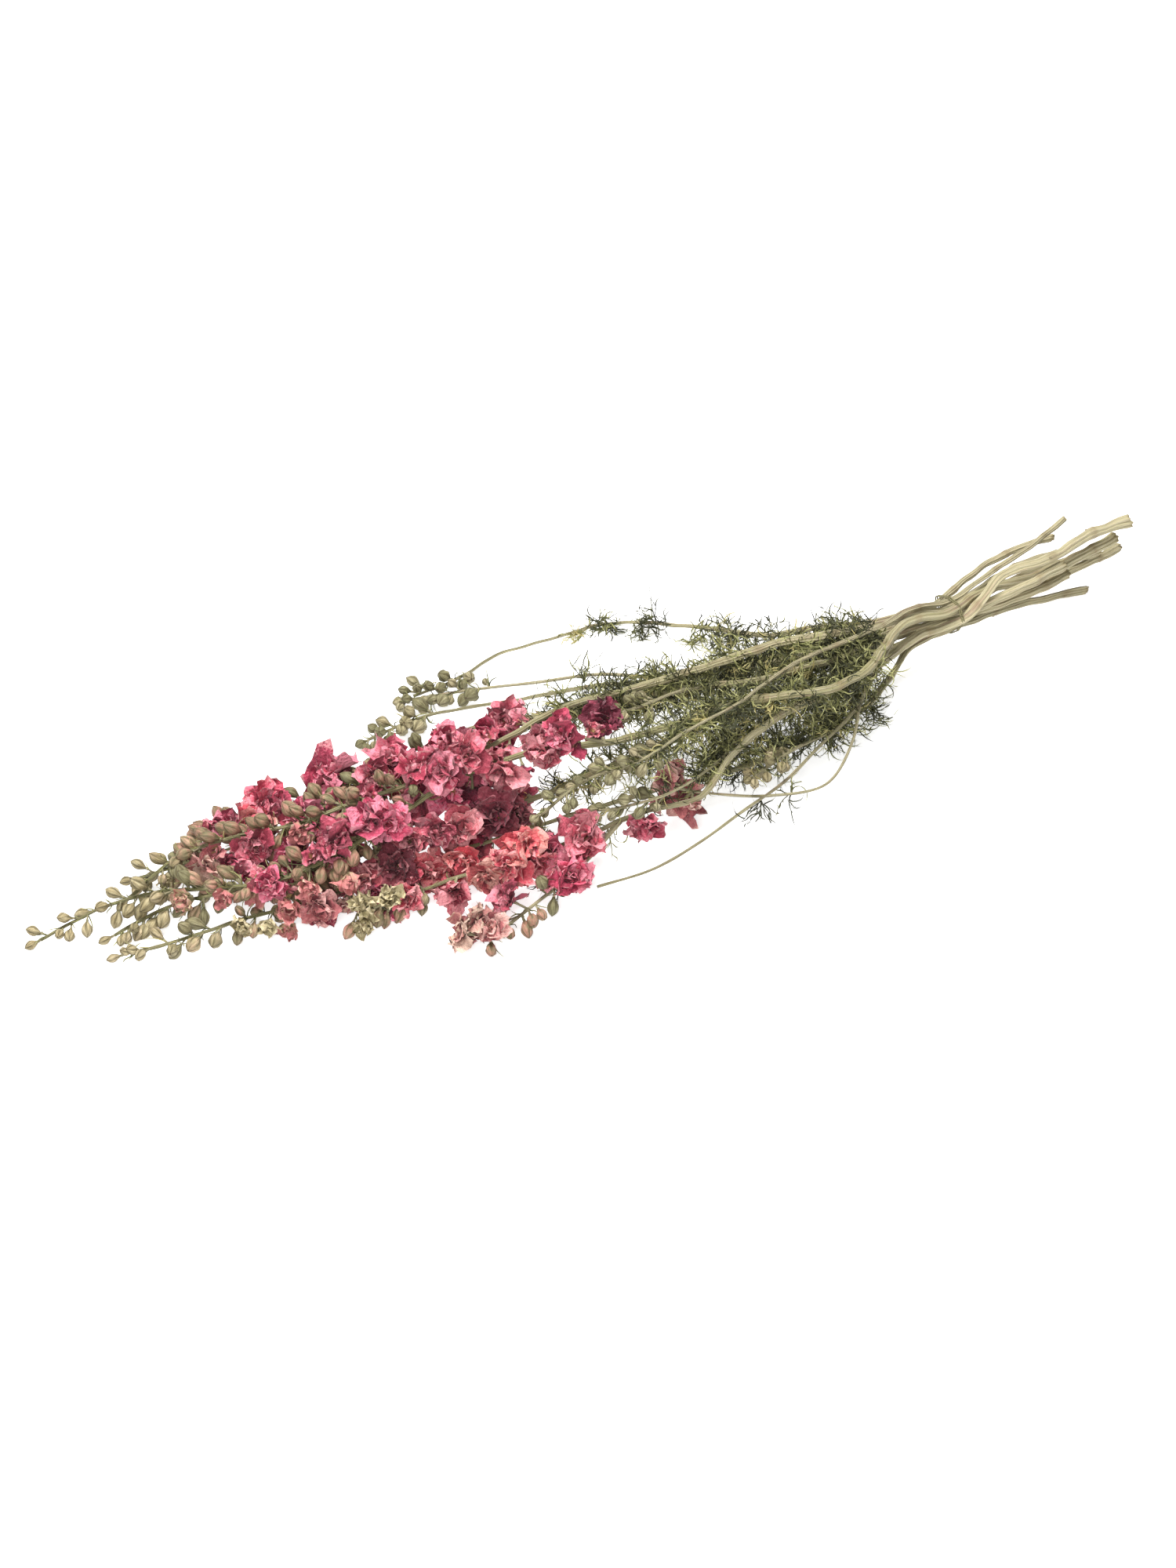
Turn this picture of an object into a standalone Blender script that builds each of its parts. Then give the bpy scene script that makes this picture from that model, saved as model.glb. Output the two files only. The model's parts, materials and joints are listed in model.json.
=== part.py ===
"""A dried bunch of pink delphinium, tied at the neck and lying on a table.

Ten cut stems cross at a thin elastic tie. Each carries side shoots, thread-leaved fronds, buds and half-open
florets, all grown as one green body, and double pink blooms, each on its own stalk. +X runs from the flower
tips to the cut ends, +Z is up from the table, and the origin is under the middle of the bunch.
"""

import math
import random

import bmesh
import bpy
import numpy as np
from mathutils.bvhtree import BVHTree

MM = 0.001

# How the bunch is seen in the picture, which turns a picture point and a height into a place.
PICTURE_MIDDLE = (750.0, 1000.0)
PICTURE_HEIGHT = 2000.0
LENS_OVER_SENSOR = 100.0 / 36.0
SIGHT_AZIMUTH = math.radians(-32.4)
SIGHT_ELEVATION = math.radians(38.0)
SIGHT_DISTANCE = 2.36
SIGHT_TARGET = (-0.0235, -0.0158, 0.0)

# The neck, where the tie holds the stems.
NECK_SPOT = (1212, 784, 25)
TIE_TURN_PITCH = 1.3 * MM
TIE_THREAD = 0.55 * MM
TIE_GAP = 0.35 * MM
TIE_REACH = 5.0 * MM

# Stems. SINK and PETAL_SINK are how far things may press into the table before they are cut flat by it.
KNOT_STEP = 33.0 * MM
SAMPLES_A_KNOT = 7
STEM_SIDES = 5
SHOOT_SIDES = 3
TIP_RADIUS = 0.6 * MM
STEM_GAP = 0.5 * MM
GAP = 0.35 * MM
SINK = 0.4 * MM
PETAL_SINK = 1.2 * MM

# Blooms and florets. Each is tried on every stem that its place in the picture lets it grow from, then a
# little smaller and up to ASIDE pixels aside, until it has room. STALKS are the lengths tried, in mm.
BLOOM_OVERLAP = 7.5 * MM
TOUCH = 3.5 * MM
STALKS = (4.0, 6.0, 8.5, 11.0)
CENTRE = 0.45
ROUNDS = 7
ROUND_SHRINK = 0.95
ASIDE = 2.5
CHOICES = 40
# A stalk's root is at most this many columns nearer the tip than its flower, or nearer the cut end.
ROOT_AHEAD = 14
ROOT_BEHIND = 50
# How much a stalk leans along its stem towards the tip, as a cosine: what is usual, least and most. Being
# off the usual, each mm of stalk and being on the far side of the stem make a place less likely.
USUAL_LEAN = 0.45
LEAST_LEAN = -0.25
MOST_LEAN = 0.95
STALK_COST = 0.03
FAR_SIDE_COST = 0.12
# Rings of petal tips and notches as shares of the flower's radius: how far out they are, then how high.
BLOOM_OUTER = ((0.98, 0.64) * 5, (0.46, 0.24) * 5)
BLOOM_INNER = ((0.36, 0.62) * 5, (0.58, 0.86) * 5)
BLOOM_HEART = 0.42
FLORET_CUP = ((0.86,) * 5, (0.72,) * 5)
FLORET_LIPS = ((0.98, 0.66) * 5, (1.45, 1.1) * 5)
FLORET_HEART = 0.8
UNEVEN = 0.06
# Rods that hold a flower's petals: reach and rise of their inner and outer ends, girth, and turn in petals.
BLOOM_RODS = ((0.2, 0.3, 0.67, 0.45, 0.37, 0.0), (0.0, 0.45, 0.46, 0.7, 0.3, 0.5))
FLORET_RODS = ((0.2, 0.4, 0.64, 1.2, 0.4, 0.0),)
STALK_RADIUS = 0.6 * MM
STALK_GAP = 0.3 * MM

# Buds and leaves. Angles are in radians, lengths in ranges are in mm.
BUD_LENGTH = 12.0 * MM
BUD_SHRINK = 0.38
BUD_GIRTH = 0.58
BUD_WIDEST = 0.42
BUD_STALK = (1.5, 4.0)
SIDE_LEAN = (0.5, 1.0)
SMALL_ATTEMPTS = 60
RIB_LENGTH = (5.0, 12.0)
RIB_SHRINK = 0.012
THREAD_LENGTH = (11.0, 19.0)
SHORTEST_THREAD = 3.0 * MM
STEEP_THREAD = (0.6, 1.0)
FLAT_THREAD = (1.15, 1.75)
FROND_THREADS = 6
HUB_RADIUS = 1.0 * MM
RIB_RADIUS = 0.6 * MM
THREAD_RADIUS = 0.4 * MM
GOLDEN_ANGLE = math.radians(137.5)
FLAT_ENOUGH = math.radians(3.0)

# Each stem: girth in mm, its place in the neck (across, up) in mm, then its route as picture column, picture
# row and height in mm, first from the cut end to the neck and then on to the tip. What grows on it is given
# as first column, last column and, for buds and fronds, how many.
STEMS = {
    "stem_01": {
        "girth": 5.6,
        "slot": (-4.5, 5.0),
        "cut": [(1420, 687, 26), (1385, 705, 27), (1345, 728, 28), (1300, 743, 28), (1255, 762, 28)],
        "run": [
            (1180, 786, 34), (1150, 798, 41), (1121, 834, 46), (1093, 865, 50), (1044, 882, 54),
            (975, 890, 57), (900, 908, 58), (814, 940, 57), (732, 952, 55), (652, 963, 52),
            (617, 979, 50), (560, 1007, 47), (475, 1062, 40), (400, 1105, 32), (330, 1128, 25),
            (250, 1134, 20), (180, 1141, 15), (125, 1160, 11), (80, 1183, 7), (52, 1199, 5),
        ],
        "blooms": (700, 250),
        "florets": (520, 200),
        "buds": (235, 52, 15),
        "fronds": (1120, 800, 6),
    },
    "stem_02": {
        "girth": 5.0,
        "slot": (3.5, -5.5),
        "cut": [(1361, 733, 20), (1335, 748, 20), (1289, 765, 22), (1250, 775, 23)],
        "run": [
            (1170, 800, 28), (1120, 822, 33), (1050, 845, 38), (960, 868, 42), (870, 880, 44),
            (800, 893, 44), (740, 905, 43), (680, 915, 41), (625, 923, 39), (579, 937, 37),
            (530, 965, 35), (462, 1005, 33), (435, 1017, 32), (390, 1040, 29), (340, 1062, 25),
            (290, 1088, 20), (235, 1100, 15), (200, 1112, 12), (175, 1120, 10),
        ],
        "blooms": (720, 260),
        "florets": (520, 225),
        "buds": (245, 175, 8),
        "fronds": (1110, 740, 6),
    },
    "stem_03": {
        "girth": 5.4,
        "slot": (-1.0, 0.5),
        "cut": [(1353, 722, 30), (1335, 731, 31), (1315, 742, 32), (1277, 753, 32), (1245, 764, 31)],
        "run": [
            (1172, 782, 36), (1120, 798, 42), (1070, 808, 47), (1026, 811, 50), (950, 834, 52),
            (900, 852, 53), (850, 866, 53), (800, 880, 53), (751, 896, 53), (713, 904, 54),
            (675, 921, 55), (645, 945, 55), (600, 965, 54), (560, 985, 53), (500, 1008, 50),
            (452, 1024, 47), (410, 1036, 43), (367, 1055, 38), (337, 1066, 34), (295, 1068, 30),
            (262, 1073, 27), (238, 1080, 25), (225, 1094, 22), (205, 1104, 19), (190, 1120, 15),
            (165, 1145, 11),
        ],
        "blooms": (680, 400),
        "florets": (520, 320),
        "buds": (320, 165, 9),
        "fronds": (1120, 700, 6),
    },
    "stem_04": {
        "girth": 4.0,
        "slot": (6.5, 4.5),
        "cut": [(1342, 685, 34), (1305, 691, 34), (1279, 708, 33), (1238, 733, 31)],
        "run": [
            (1170, 774, 28), (1120, 792, 25), (1060, 799, 21), (1000, 806, 17), (962, 810, 14),
            (899, 801, 9), (858, 798, 7), (825, 794, 3.5), (784, 792, 1), (733, 809, 0.3),
            (662, 825, 0.3), (621, 842, 0.6), (584, 866, 2.2), (564, 876, 3.5), (545, 883, 4), (528, 888, 4),
        ],
        "buds": (605, 528, 8),
        "fronds": (1110, 770, 7),
    },
    "stem_05": {
        "girth": 4.4,
        "slot": (8.0, -1.5),
        "cut": [(1352, 706, 15), (1313, 714, 17), (1285, 730, 19), (1250, 752, 21)],
        "run": [
            (1170, 790, 20), (1110, 806, 19), (1040, 825, 18), (960, 845, 17), (900, 858, 15),
            (847, 868, 13), (790, 870, 11), (713, 883, 9), (665, 892, 8), (617, 899, 6),
            (560, 912, 5), (523, 918, 4), (500, 925, 4), (482, 935, 4), (470, 944, 4),
        ],
        "buds": (560, 470, 10),
        "fronds": (1110, 720, 6),
    },
    "stem_06": {
        "girth": 6.2,
        "slot": (-7.5, 0.5),
        "cut": [(1440, 664, 36), (1391, 681, 38), (1340, 712, 39), (1289, 732, 38), (1250, 750, 36)],
        "run": [
            (1172, 808, 26), (1120, 848, 32), (1060, 880, 38), (1003, 910, 42), (975, 923, 42),
            (950, 944, 40), (924, 977, 34), (912, 1000, 29), (896, 1014, 26), (858, 1029, 25),
            (818, 1036, 25), (780, 1051, 24), (742, 1068, 23), (700, 1086, 21), (650, 1100, 19),
            (600, 1114, 17), (540, 1135, 14), (490, 1150, 11), (455, 1167, 8),
        ],
        "blooms": (860, 500),
        "florets": (560, 455),
        "fronds": (1080, 660, 5),
    },
    "stem_07": {
        "girth": 4.0,
        "slot": (-5.5, -5.0),
        "cut": [(1385, 753, 1.4), (1340, 762, 4.5), (1302, 770, 9), (1264, 783, 14)],
        "run": [
            (1166, 820, 18), (1150, 843, 16), (1122, 882, 14), (1090, 912, 13), (1050, 935, 13),
            (1000, 958, 14), (930, 985, 15), (860, 1000, 16), (790, 1022, 17), (710, 1045, 18),
            (640, 1068, 18), (570, 1090, 17), (520, 1106, 16), (473, 1124, 15), (416, 1142, 13),
            (359, 1163, 11), (318, 1170, 9), (276, 1186, 7), (221, 1201, 5), (180, 1210, 4),
            (158, 1218, 3.5),
        ],
        "blooms": (690, 380),
        "florets": (520, 290),
        "buds": (285, 158, 10),
        "fronds": (1110, 800, 4),
    },
    "stem_08": {
        "girth": 4.8,
        "slot": (-1.0, -9.0),
        "cut": [(1427, 698, 14), (1391, 716, 16), (1345, 735, 17), (1300, 752, 18), (1255, 772, 18)],
        "run": [
            (1172, 812, 18), (1120, 840, 20), (1060, 868, 23), (980, 895, 26), (900, 925, 28),
            (830, 955, 30), (760, 985, 31), (690, 1015, 31), (620, 1040, 29), (560, 1060, 27),
            (500, 1078, 25), (430, 1100, 21), (360, 1120, 17), (300, 1135, 13), (260, 1143, 11),
            (223, 1153, 9), (189, 1171, 7), (162, 1185, 5), (146, 1193, 4),
        ],
        "blooms": (690, 270),
        "florets": (520, 225),
        "buds": (225, 146, 8),
        "fronds": (1120, 700, 6),
    },
    "stem_09": {
        "girth": 4.6,
        "slot": (3.5, 0.0),
        "cut": [(1400, 704, 20), (1360, 716, 22), (1320, 728, 23), (1285, 743, 24), (1248, 760, 25)],
        "run": [
            (1170, 792, 26), (1110, 812, 30), (1040, 832, 31), (960, 852, 30), (880, 868, 28),
            (800, 885, 27), (720, 905, 27), (640, 930, 27), (570, 955, 26), (500, 985, 25),
            (440, 1005, 24), (390, 1020, 22), (350, 1030, 21), (310, 1048, 18), (283, 1062, 16),
            (262, 1070, 14),
        ],
        "blooms": (720, 280),
        "florets": (520, 275),
        "buds": (285, 262, 3),
        "fronds": (1110, 660, 6),
    },
    "stem_10": {
        "girth": 3.4,
        "slot": (1.5, 8.0),
        "cut": [(1358, 661, 44), (1315, 696, 41), (1282, 719, 39), (1245, 741, 37)],
        "run": [
            (1185, 772, 37), (1160, 778, 42), (1137, 792, 47), (1086, 815, 54), (1026, 840, 60),
            (975, 872, 64), (937, 900, 65), (886, 926, 64), (842, 957, 61), (797, 977, 57),
            (760, 990, 53), (726, 1007, 49), (690, 1038, 44),
        ],
        "buds": (850, 690, 13),
        "fronds": (1120, 880, 2),
    },
}

# Side shoots: the stem or shoot that each grows from, the column where it leaves it, and its own route.
SHOOTS = {
    "shoot_01_low": {
        "stem": "stem_01",
        "parent": "stem_01",
        "leaves_at": 1146,
        "girth": 2.2,
        "run": [
            (1147, 829, 36), (1124, 850, 34), (1108, 868, 32), (1098, 890, 29), (1082, 918, 26),
            (1054, 943, 22), (1015, 983, 18), (985, 1010, 15), (938, 1041, 12), (893, 1074, 9),
            (840, 1105, 7), (800, 1122, 5), (762, 1131, 5),
        ],
        "blooms": (800, 762),
        "fronds": (1120, 1085, 1),
    },
    "shoot_01_loop": {
        "stem": "stem_01",
        "parent": "shoot_01_low",
        "leaves_at": 1098,
        "girth": 1.9,
        "run": [
            (1092, 918, 25), (1087, 942, 22), (1083, 966, 18), (1069, 988, 15), (1040, 1006, 13),
            (979, 1015, 14), (925, 1014, 19), (892, 1008, 25), (862, 1000, 30), (845, 1003, 31),
        ],
        "blooms": (930, 845),
        "fronds": (1040, 960, 2),
    },
    "shoot_01_top": {
        "stem": "stem_01",
        "parent": "stem_01",
        "leaves_at": 780,
        "girth": 1.9,
        "run": [(755, 943, 61), (733, 938, 63), (712, 938, 62), (700, 945, 60)],
        "blooms": (780, 700),
    },
    "shoot_02_top": {
        "stem": "stem_02",
        "parent": "stem_02",
        "leaves_at": 900,
        "girth": 2.0,
        "run": [(860, 884, 51), (825, 898, 55), (795, 909, 56), (770, 916, 55)],
        "buds": (840, 785, 6),
        "blooms": (900, 765),
    },
    "shoot_05_twin": {
        "stem": "stem_05",
        "parent": "stem_05",
        "leaves_at": 860,
        "girth": 2.0,
        "run": [
            (830, 862, 15), (799, 862, 15), (761, 860, 13), (723, 864, 11), (680, 871, 9),
            (633, 879, 7), (588, 881, 5), (550, 893, 4), (520, 893, 4),
        ],
        "buds": (625, 520, 7),
    },
    "shoot_06_low": {
        "stem": "stem_06",
        "parent": "stem_06",
        "leaves_at": 800,
        "girth": 2.6,
        "run": [
            (772, 1076, 17), (740, 1106, 13), (704, 1134, 10), (675, 1160, 8), (653, 1182, 7),
            (625, 1198, 6),
        ],
        "blooms": (760, 615),
        "florets": (720, 620),
        "fronds": (740, 700, 1),
    },
    "shoot_07_pale": {
        "stem": "stem_07",
        "parent": "stem_07",
        "leaves_at": 1095,
        "girth": 2.2,
        "run": [(1052, 937, 21), (1016, 954, 24), (985, 974, 24), (962, 990, 23)],
        "buds": (1012, 962, 7),
        "fronds": (1060, 1030, 1),
    },
    "shoot_08_grey": {
        "stem": "stem_08",
        "parent": "stem_08",
        "leaves_at": 965,
        "girth": 2.1,
        "run": [(930, 962, 33), (895, 986, 36), (858, 1012, 38), (803, 1018, 38), (768, 1036, 36)],
        "buds": (850, 768, 7),
        "fronds": (930, 890, 1),
    },
}

# Where the picture shows the middle of each bloom and half-open floret: column, row, and radius in mm.
# What lies nearest the eye comes first.
BLOOM_SPOTS = [
    (473, 1045, 12.0), (744, 1067, 13.0), (370, 1106, 11.5), (643, 991, 12.0), (540, 1117, 11.5),
    (324, 1052, 10.5), (665, 1077, 11.5), (586, 1104, 11.0), (562, 984, 11.5), (322, 1112, 10.5),
    (531, 1027, 11.5), (572, 1021, 10.5), (330, 1023, 10.5), (478, 990, 10.5), (423, 983, 12.0),
    (728, 1117, 10.5), (577, 1142, 10.0), (407, 1158, 10.5), (603, 1013, 9.5), (648, 1108, 10.0),
    (415, 1008, 12.5), (273, 1095, 9.5), (604, 949, 10.5), (632, 943, 10.5), (854, 995, 10.5),
    (714, 933, 9.5), (644, 917, 9.5), (770, 917, 9.5), (824, 1055, 10.0), (872, 1020, 9.5),
    (645, 1145, 9.5), (420, 1072, 10.5), (632, 1042, 12.0), (551, 1121, 10.0), (689, 1101, 9.0),
    (400, 1112, 10.0), (287, 1054, 8.5), (498, 968, 10.0), (590, 1055, 10.0), (521, 1075, 9.5),
    (691, 964, 9.0), (596, 962, 10.0), (565, 945, 10.0), (390, 1041, 9.5), (325, 1081, 9.0),
    (689, 946, 9.0), (300, 1103, 8.5), (588, 1188, 9.5), (604, 1170, 8.5), (626, 1180, 8.5),
    (464, 1117, 9.5), (505, 1106, 10.0), (430, 1130, 9.5), (497, 1050, 9.5), (450, 1020, 9.5),
    (609, 1079, 9.0), (446, 1160, 9.0), (420, 1179, 8.5), (345, 1130, 8.5), (555, 1060, 9.5),
    (545, 1010, 9.5), (520, 1145, 8.5), (620, 1120, 9.0), (350, 1030, 8.5), (262, 1108, 8.0),
    (612, 985, 9.5), (585, 1075, 9.0), (380, 1080, 9.0), (480, 1140, 8.5), (660, 1040, 9.0),
    (530, 975, 9.5), (440, 1040, 9.0), (490, 1075, 9.0), (700, 1085, 8.5), (570, 1165, 8.5),
]
FLORET_SPOTS = [
    (479, 1095, 6.5), (430, 1103, 6.5), (444, 1119, 7.0), (451, 1070, 6.5), (394, 1130, 6.5),
    (371, 1159, 6.5), (240, 1102, 6.5), (237, 1150, 7.0), (496, 1146, 6.5), (464, 1176, 6.5),
    (464, 1155, 6.5), (390, 1180, 6.5), (342, 1178, 5.5), (310, 1180, 6.0), (289, 1141, 5.5),
    (505, 1003, 6.0), (349, 1055, 6.0), (384, 1060, 6.0), (350, 1076, 5.5), (505, 1084, 5.5),
    (639, 1181, 6.0), (326, 1140, 5.5), (367, 1181, 5.5), (214, 1120, 5.5),
]


def sight_axes():
    """Right, up and towards the eye, as unit vectors of the picture's view."""
    sine, cosine = math.sin(SIGHT_AZIMUTH), math.cos(SIGHT_AZIMUTH)
    right = np.array([cosine, sine, 0.0])
    level, rise = math.cos(SIGHT_ELEVATION), math.sin(SIGHT_ELEVATION)
    back = np.array([sine * level, -cosine * level, rise])
    return right, np.cross(back, right), back


def spot(column, row, height):
    """The place seen at a picture point, at that height in mm, where its sight line comes down to it."""
    right, up, back = sight_axes()
    eye = np.array(SIGHT_TARGET) + back * SIGHT_DISTANCE
    focal = LENS_OVER_SENSOR * PICTURE_HEIGHT
    line = right * (column - PICTURE_MIDDLE[0]) + up * (PICTURE_MIDDLE[1] - row) - back * focal
    return eye + line * ((height * MM - eye[2]) / line[2])


def unit(vector):
    return vector / np.linalg.norm(vector)


def smooth_route(points, columns):
    """Points along a Catmull-Rom curve through the route, KNOT_STEP apart, and the picture column at each."""
    data = np.column_stack([np.asarray(points, float), columns])
    ends = np.vstack([2 * data[0] - data[1], data, 2 * data[-1] - data[-2]])
    steps = np.linspace(0.0, 1.0, 16, endpoint=False)[:, None]
    dense = []
    for a, b, c, d in zip(ends, ends[1:], ends[2:], ends[3:]):
        bend = 2 * a - 5 * b + 4 * c - d
        twist = 3 * b - a - 3 * c + d
        dense.append(0.5 * (2 * b + (c - a) * steps + bend * steps**2 + twist * steps**3))
    dense = np.vstack(dense + [data[-1:]])
    along = np.concatenate([[0.0], np.cumsum(np.linalg.norm(np.diff(dense[:, :3], axis=0), axis=1))])
    even = np.linspace(0.0, along[-1], max(4, round(along[-1] / KNOT_STEP) + 1))
    return np.column_stack([np.interp(even, along, dense[:, k]) for k in range(4)])


def stem_radii(count, girth):
    """Radius at each knot: the stem thins slowly along its leaves, then faster through its flowers."""
    share = np.linspace(0.0, 1.0, count)
    return np.maximum(TIP_RADIUS, girth * MM / 2 * np.interp(share, [0, 0.3, 0.7, 1], [1, 0.84, 0.5, 0.22]))


class Axis:
    """A stem or side shoot: straight lengths between knots, and the samples that its flowers grow from."""

    def __init__(self, name, stem, knots, radii, plan):
        self.name, self.stem, self.plan = name, stem, plan
        self.knots, self.knot_radii = knots[:, :3], radii
        marks = np.arange(len(knots))
        fine = np.linspace(0, len(knots) - 1, (len(knots) - 1) * SAMPLES_A_KNOT + 1)
        self.columns = np.interp(fine, marks, knots[:, 3])
        self.radii = np.interp(fine, marks, radii)
        self.fine, self.marks = fine, marks
        self.settle()

    def settle(self):
        """Works the samples out again after the knots have moved."""
        self.line = np.column_stack([np.interp(self.fine, self.marks, self.knots[:, k]) for k in range(3)])

    def at(self, column):
        """The first sample that is as far left in the picture as a column."""
        above = np.flatnonzero(self.columns <= max(column, self.columns.min()) + 1e-6)
        return above[0] if len(above) else len(self.columns) - 1

    def direction(self, index):
        low, high = max(0, index - 2), min(len(self.line) - 1, index + 2)
        return unit(self.line[high] - self.line[low])


def push_apart(moving, still, rounds):
    """Moves axes that cross clear of each other and of the table, a little at a time, by their knots."""
    reach = SAMPLES_A_KNOT
    for _ in range(rounds):
        everyone = moving + still
        lines = np.vstack([axis.line for axis in everyone])
        radii = np.concatenate([axis.radii for axis in everyone])
        owner = np.concatenate([[axis.stem] * len(axis.line) for axis in everyone])
        for axis in moving:
            away = axis.line[:, None, :] - lines[None, :, :]
            distance = np.linalg.norm(away, axis=2) + 1e-9
            short = axis.radii[:, None] + radii[None, :] + STEM_GAP - distance
            short[:, owner == axis.stem] = 0.0
            short = np.maximum(short, 0.0)
            rows, worst = np.arange(len(axis.line)), short.argmax(axis=1)
            push = away[rows, worst] / distance[rows, worst][:, None] * short[rows, worst][:, None]
            push[:, 2] += np.maximum(0.0, axis.radii - SINK - axis.line[:, 2])
            size = np.linalg.norm(push, axis=1)
            first = 1 if axis.name in SHOOTS else 0
            for knot in range(first, len(axis.knots)):
                near = np.arange(max(0, (knot - 1) * reach), min(len(size), (knot + 1) * reach + 1))
                pull = 1.0 - np.abs(near - knot * reach) / (reach + 1)
                best = near[(pull * size[near]).argmax()]
                axis.knots[knot] += 0.45 * push[best] * (1.0 - abs(best - knot * reach) / (reach + 1))
            axis.settle()


def lay_stems():
    """Every stem and side shoot as an Axis, settled clear of the others."""
    neck = spot(*NECK_SPOT)
    axes = {}
    for name, plan in STEMS.items():
        route = plan["cut"] + [None] + plan["run"]
        across, up = plan["slot"]
        held = neck + np.array([0.0, across, up]) * MM
        points = [held if point is None else spot(*point) for point in route]
        columns = [NECK_SPOT[0] if point is None else point[0] for point in route]
        knots = smooth_route(points, columns)
        axes[name] = Axis(name, name, knots, stem_radii(len(knots), plan["girth"]), plan)
    push_apart(list(axes.values()), [], 120)
    for name, plan in SHOOTS.items():
        parent = axes[plan["parent"]]
        root = parent.line[parent.at(plan["leaves_at"])]
        points = [root] + [spot(*point) for point in plan["run"]]
        columns = [plan["leaves_at"]] + [point[0] for point in plan["run"]]
        knots = smooth_route(points, columns)
        radii = np.maximum(TIP_RADIUS, np.linspace(plan["girth"], plan["girth"] * 0.5, len(knots)) * MM / 2)
        axes[name] = Axis(name, plan["stem"], knots, radii, plan)
    push_apart([axes[name] for name in SHOOTS], [axes[name] for name in STEMS], 80)
    return axes


def segment_gaps(a, b, starts, ends):
    """Distances from segment ab to each of the others, from the nearest points of both."""
    along, other, between = b - a, ends - starts, a - starts
    aa = max(along @ along, 1e-12)
    oo = np.maximum((other * other).sum(1), 1e-12)
    ao, ab, ob = other @ along, between @ along, (other * between).sum(1)
    spread = aa * oo - ao * ao
    s = np.clip(np.where(spread > 1e-14, (ao * ob - ab * oo) / np.maximum(spread, 1e-14), 0.0), 0.0, 1.0)
    t = np.clip((ao * s + ob) / oo, 0.0, 1.0)
    s = np.clip((ao * t - ab) / aa, 0.0, 1.0)
    nearest = a + s[:, None] * along - starts - t[:, None] * other
    return np.linalg.norm(nearest, axis=1)


class Crowd:
    """What is already in the bunch, as round-ended rods, each owned by the node that it is part of."""

    def __init__(self):
        self.starts, self.ends = np.empty((0, 3)), np.empty((0, 3))
        self.radii, self.owners = np.empty(0), np.empty(0, dtype=object)

    def add(self, owner, rods):
        self.starts = np.vstack([self.starts, [rod[0] for rod in rods]])
        self.ends = np.vstack([self.ends, [rod[1] for rod in rods]])
        self.radii = np.append(self.radii, [rod[2] for rod in rods])
        self.owners = np.append(self.owners, [owner] * len(rods))

    def clear(self, owner, rods, sink=SINK, overlap=None):
        """True if rods keep GAP to other owners' rods, overlap their own no deeper, and stay on the table."""
        if any(min(a[2], b[2]) - radius < -sink for a, b, radius in rods):
            return False
        middle = np.mean([(a + b) / 2 for a, b, _ in rods], axis=0)
        spread = max(np.linalg.norm(end - middle) + radius for a, b, radius in rods for end in (a, b))
        half = np.linalg.norm(self.ends - self.starts, axis=1) / 2
        away = np.linalg.norm((self.starts + self.ends) / 2 - middle, axis=1)
        near = away < spread + half + self.radii + GAP
        kin = self.owners == owner
        if overlap is None:
            near &= ~kin
        starts, ends = self.starts[near], self.ends[near]
        if not len(starts):
            return True
        room = self.radii[near] + np.where(kin[near], -(overlap or 0.0), GAP)
        return not any((segment_gaps(a, b, starts, ends) < radius + room).any() for a, b, radius in rods)

    def touches(self, owner, rods):
        """True if rods run into their owner's others by TOUCH at least, so that their solids meet."""
        kin = self.owners == owner
        starts, ends, room = self.starts[kin], self.ends[kin], self.radii[kin] - TOUCH
        if not len(starts):
            return True
        return any((segment_gaps(a, b, starts, ends) < radius + room).any() for a, b, radius in rods)


def facing(direction):
    """Two unit vectors square to a direction."""
    side = np.array([0.0, 0.0, 1.0]) if abs(direction[2]) < 0.9 else np.array([1.0, 0.0, 0.0])
    first = unit(np.cross(direction, side))
    return first, np.cross(direction, first)


def outwards(axis, index, angle, lean):
    """A direction away from the axis at that angle round it, leaning towards the tip by lean radians."""
    ahead = axis.direction(index)
    first, second = facing(ahead)
    out = first * math.cos(angle) + second * math.sin(angle)
    return unit(out * math.cos(lean) + ahead * math.sin(lean))


def flower_rods(base, direction, radius, angle, rods):
    """Rods that hold a whole bloom or floret, five of each kind, given as shares of its radius."""
    first, second = facing(direction)
    held = []
    for near, low, far, high, girth, shift in rods:
        for petal in range(5):
            turn = angle + math.tau * (petal + shift) / 5
            out = first * math.cos(turn) + second * math.sin(turn)
            inner = base + (out * near + direction * low) * radius
            outer = base + (out * far + direction * high) * radius
            held.append((inner, outer, radius * girth))
    return held


class Flower:
    """A bloom or half-open floret: where its stalk leaves the axis, its base, its facing and its size."""

    def __init__(self, axis, root, base, direction, radius, angle):
        self.axis, self.root, self.base = axis, root, base
        self.direction, self.radius, self.angle = direction, radius, angle


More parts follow.
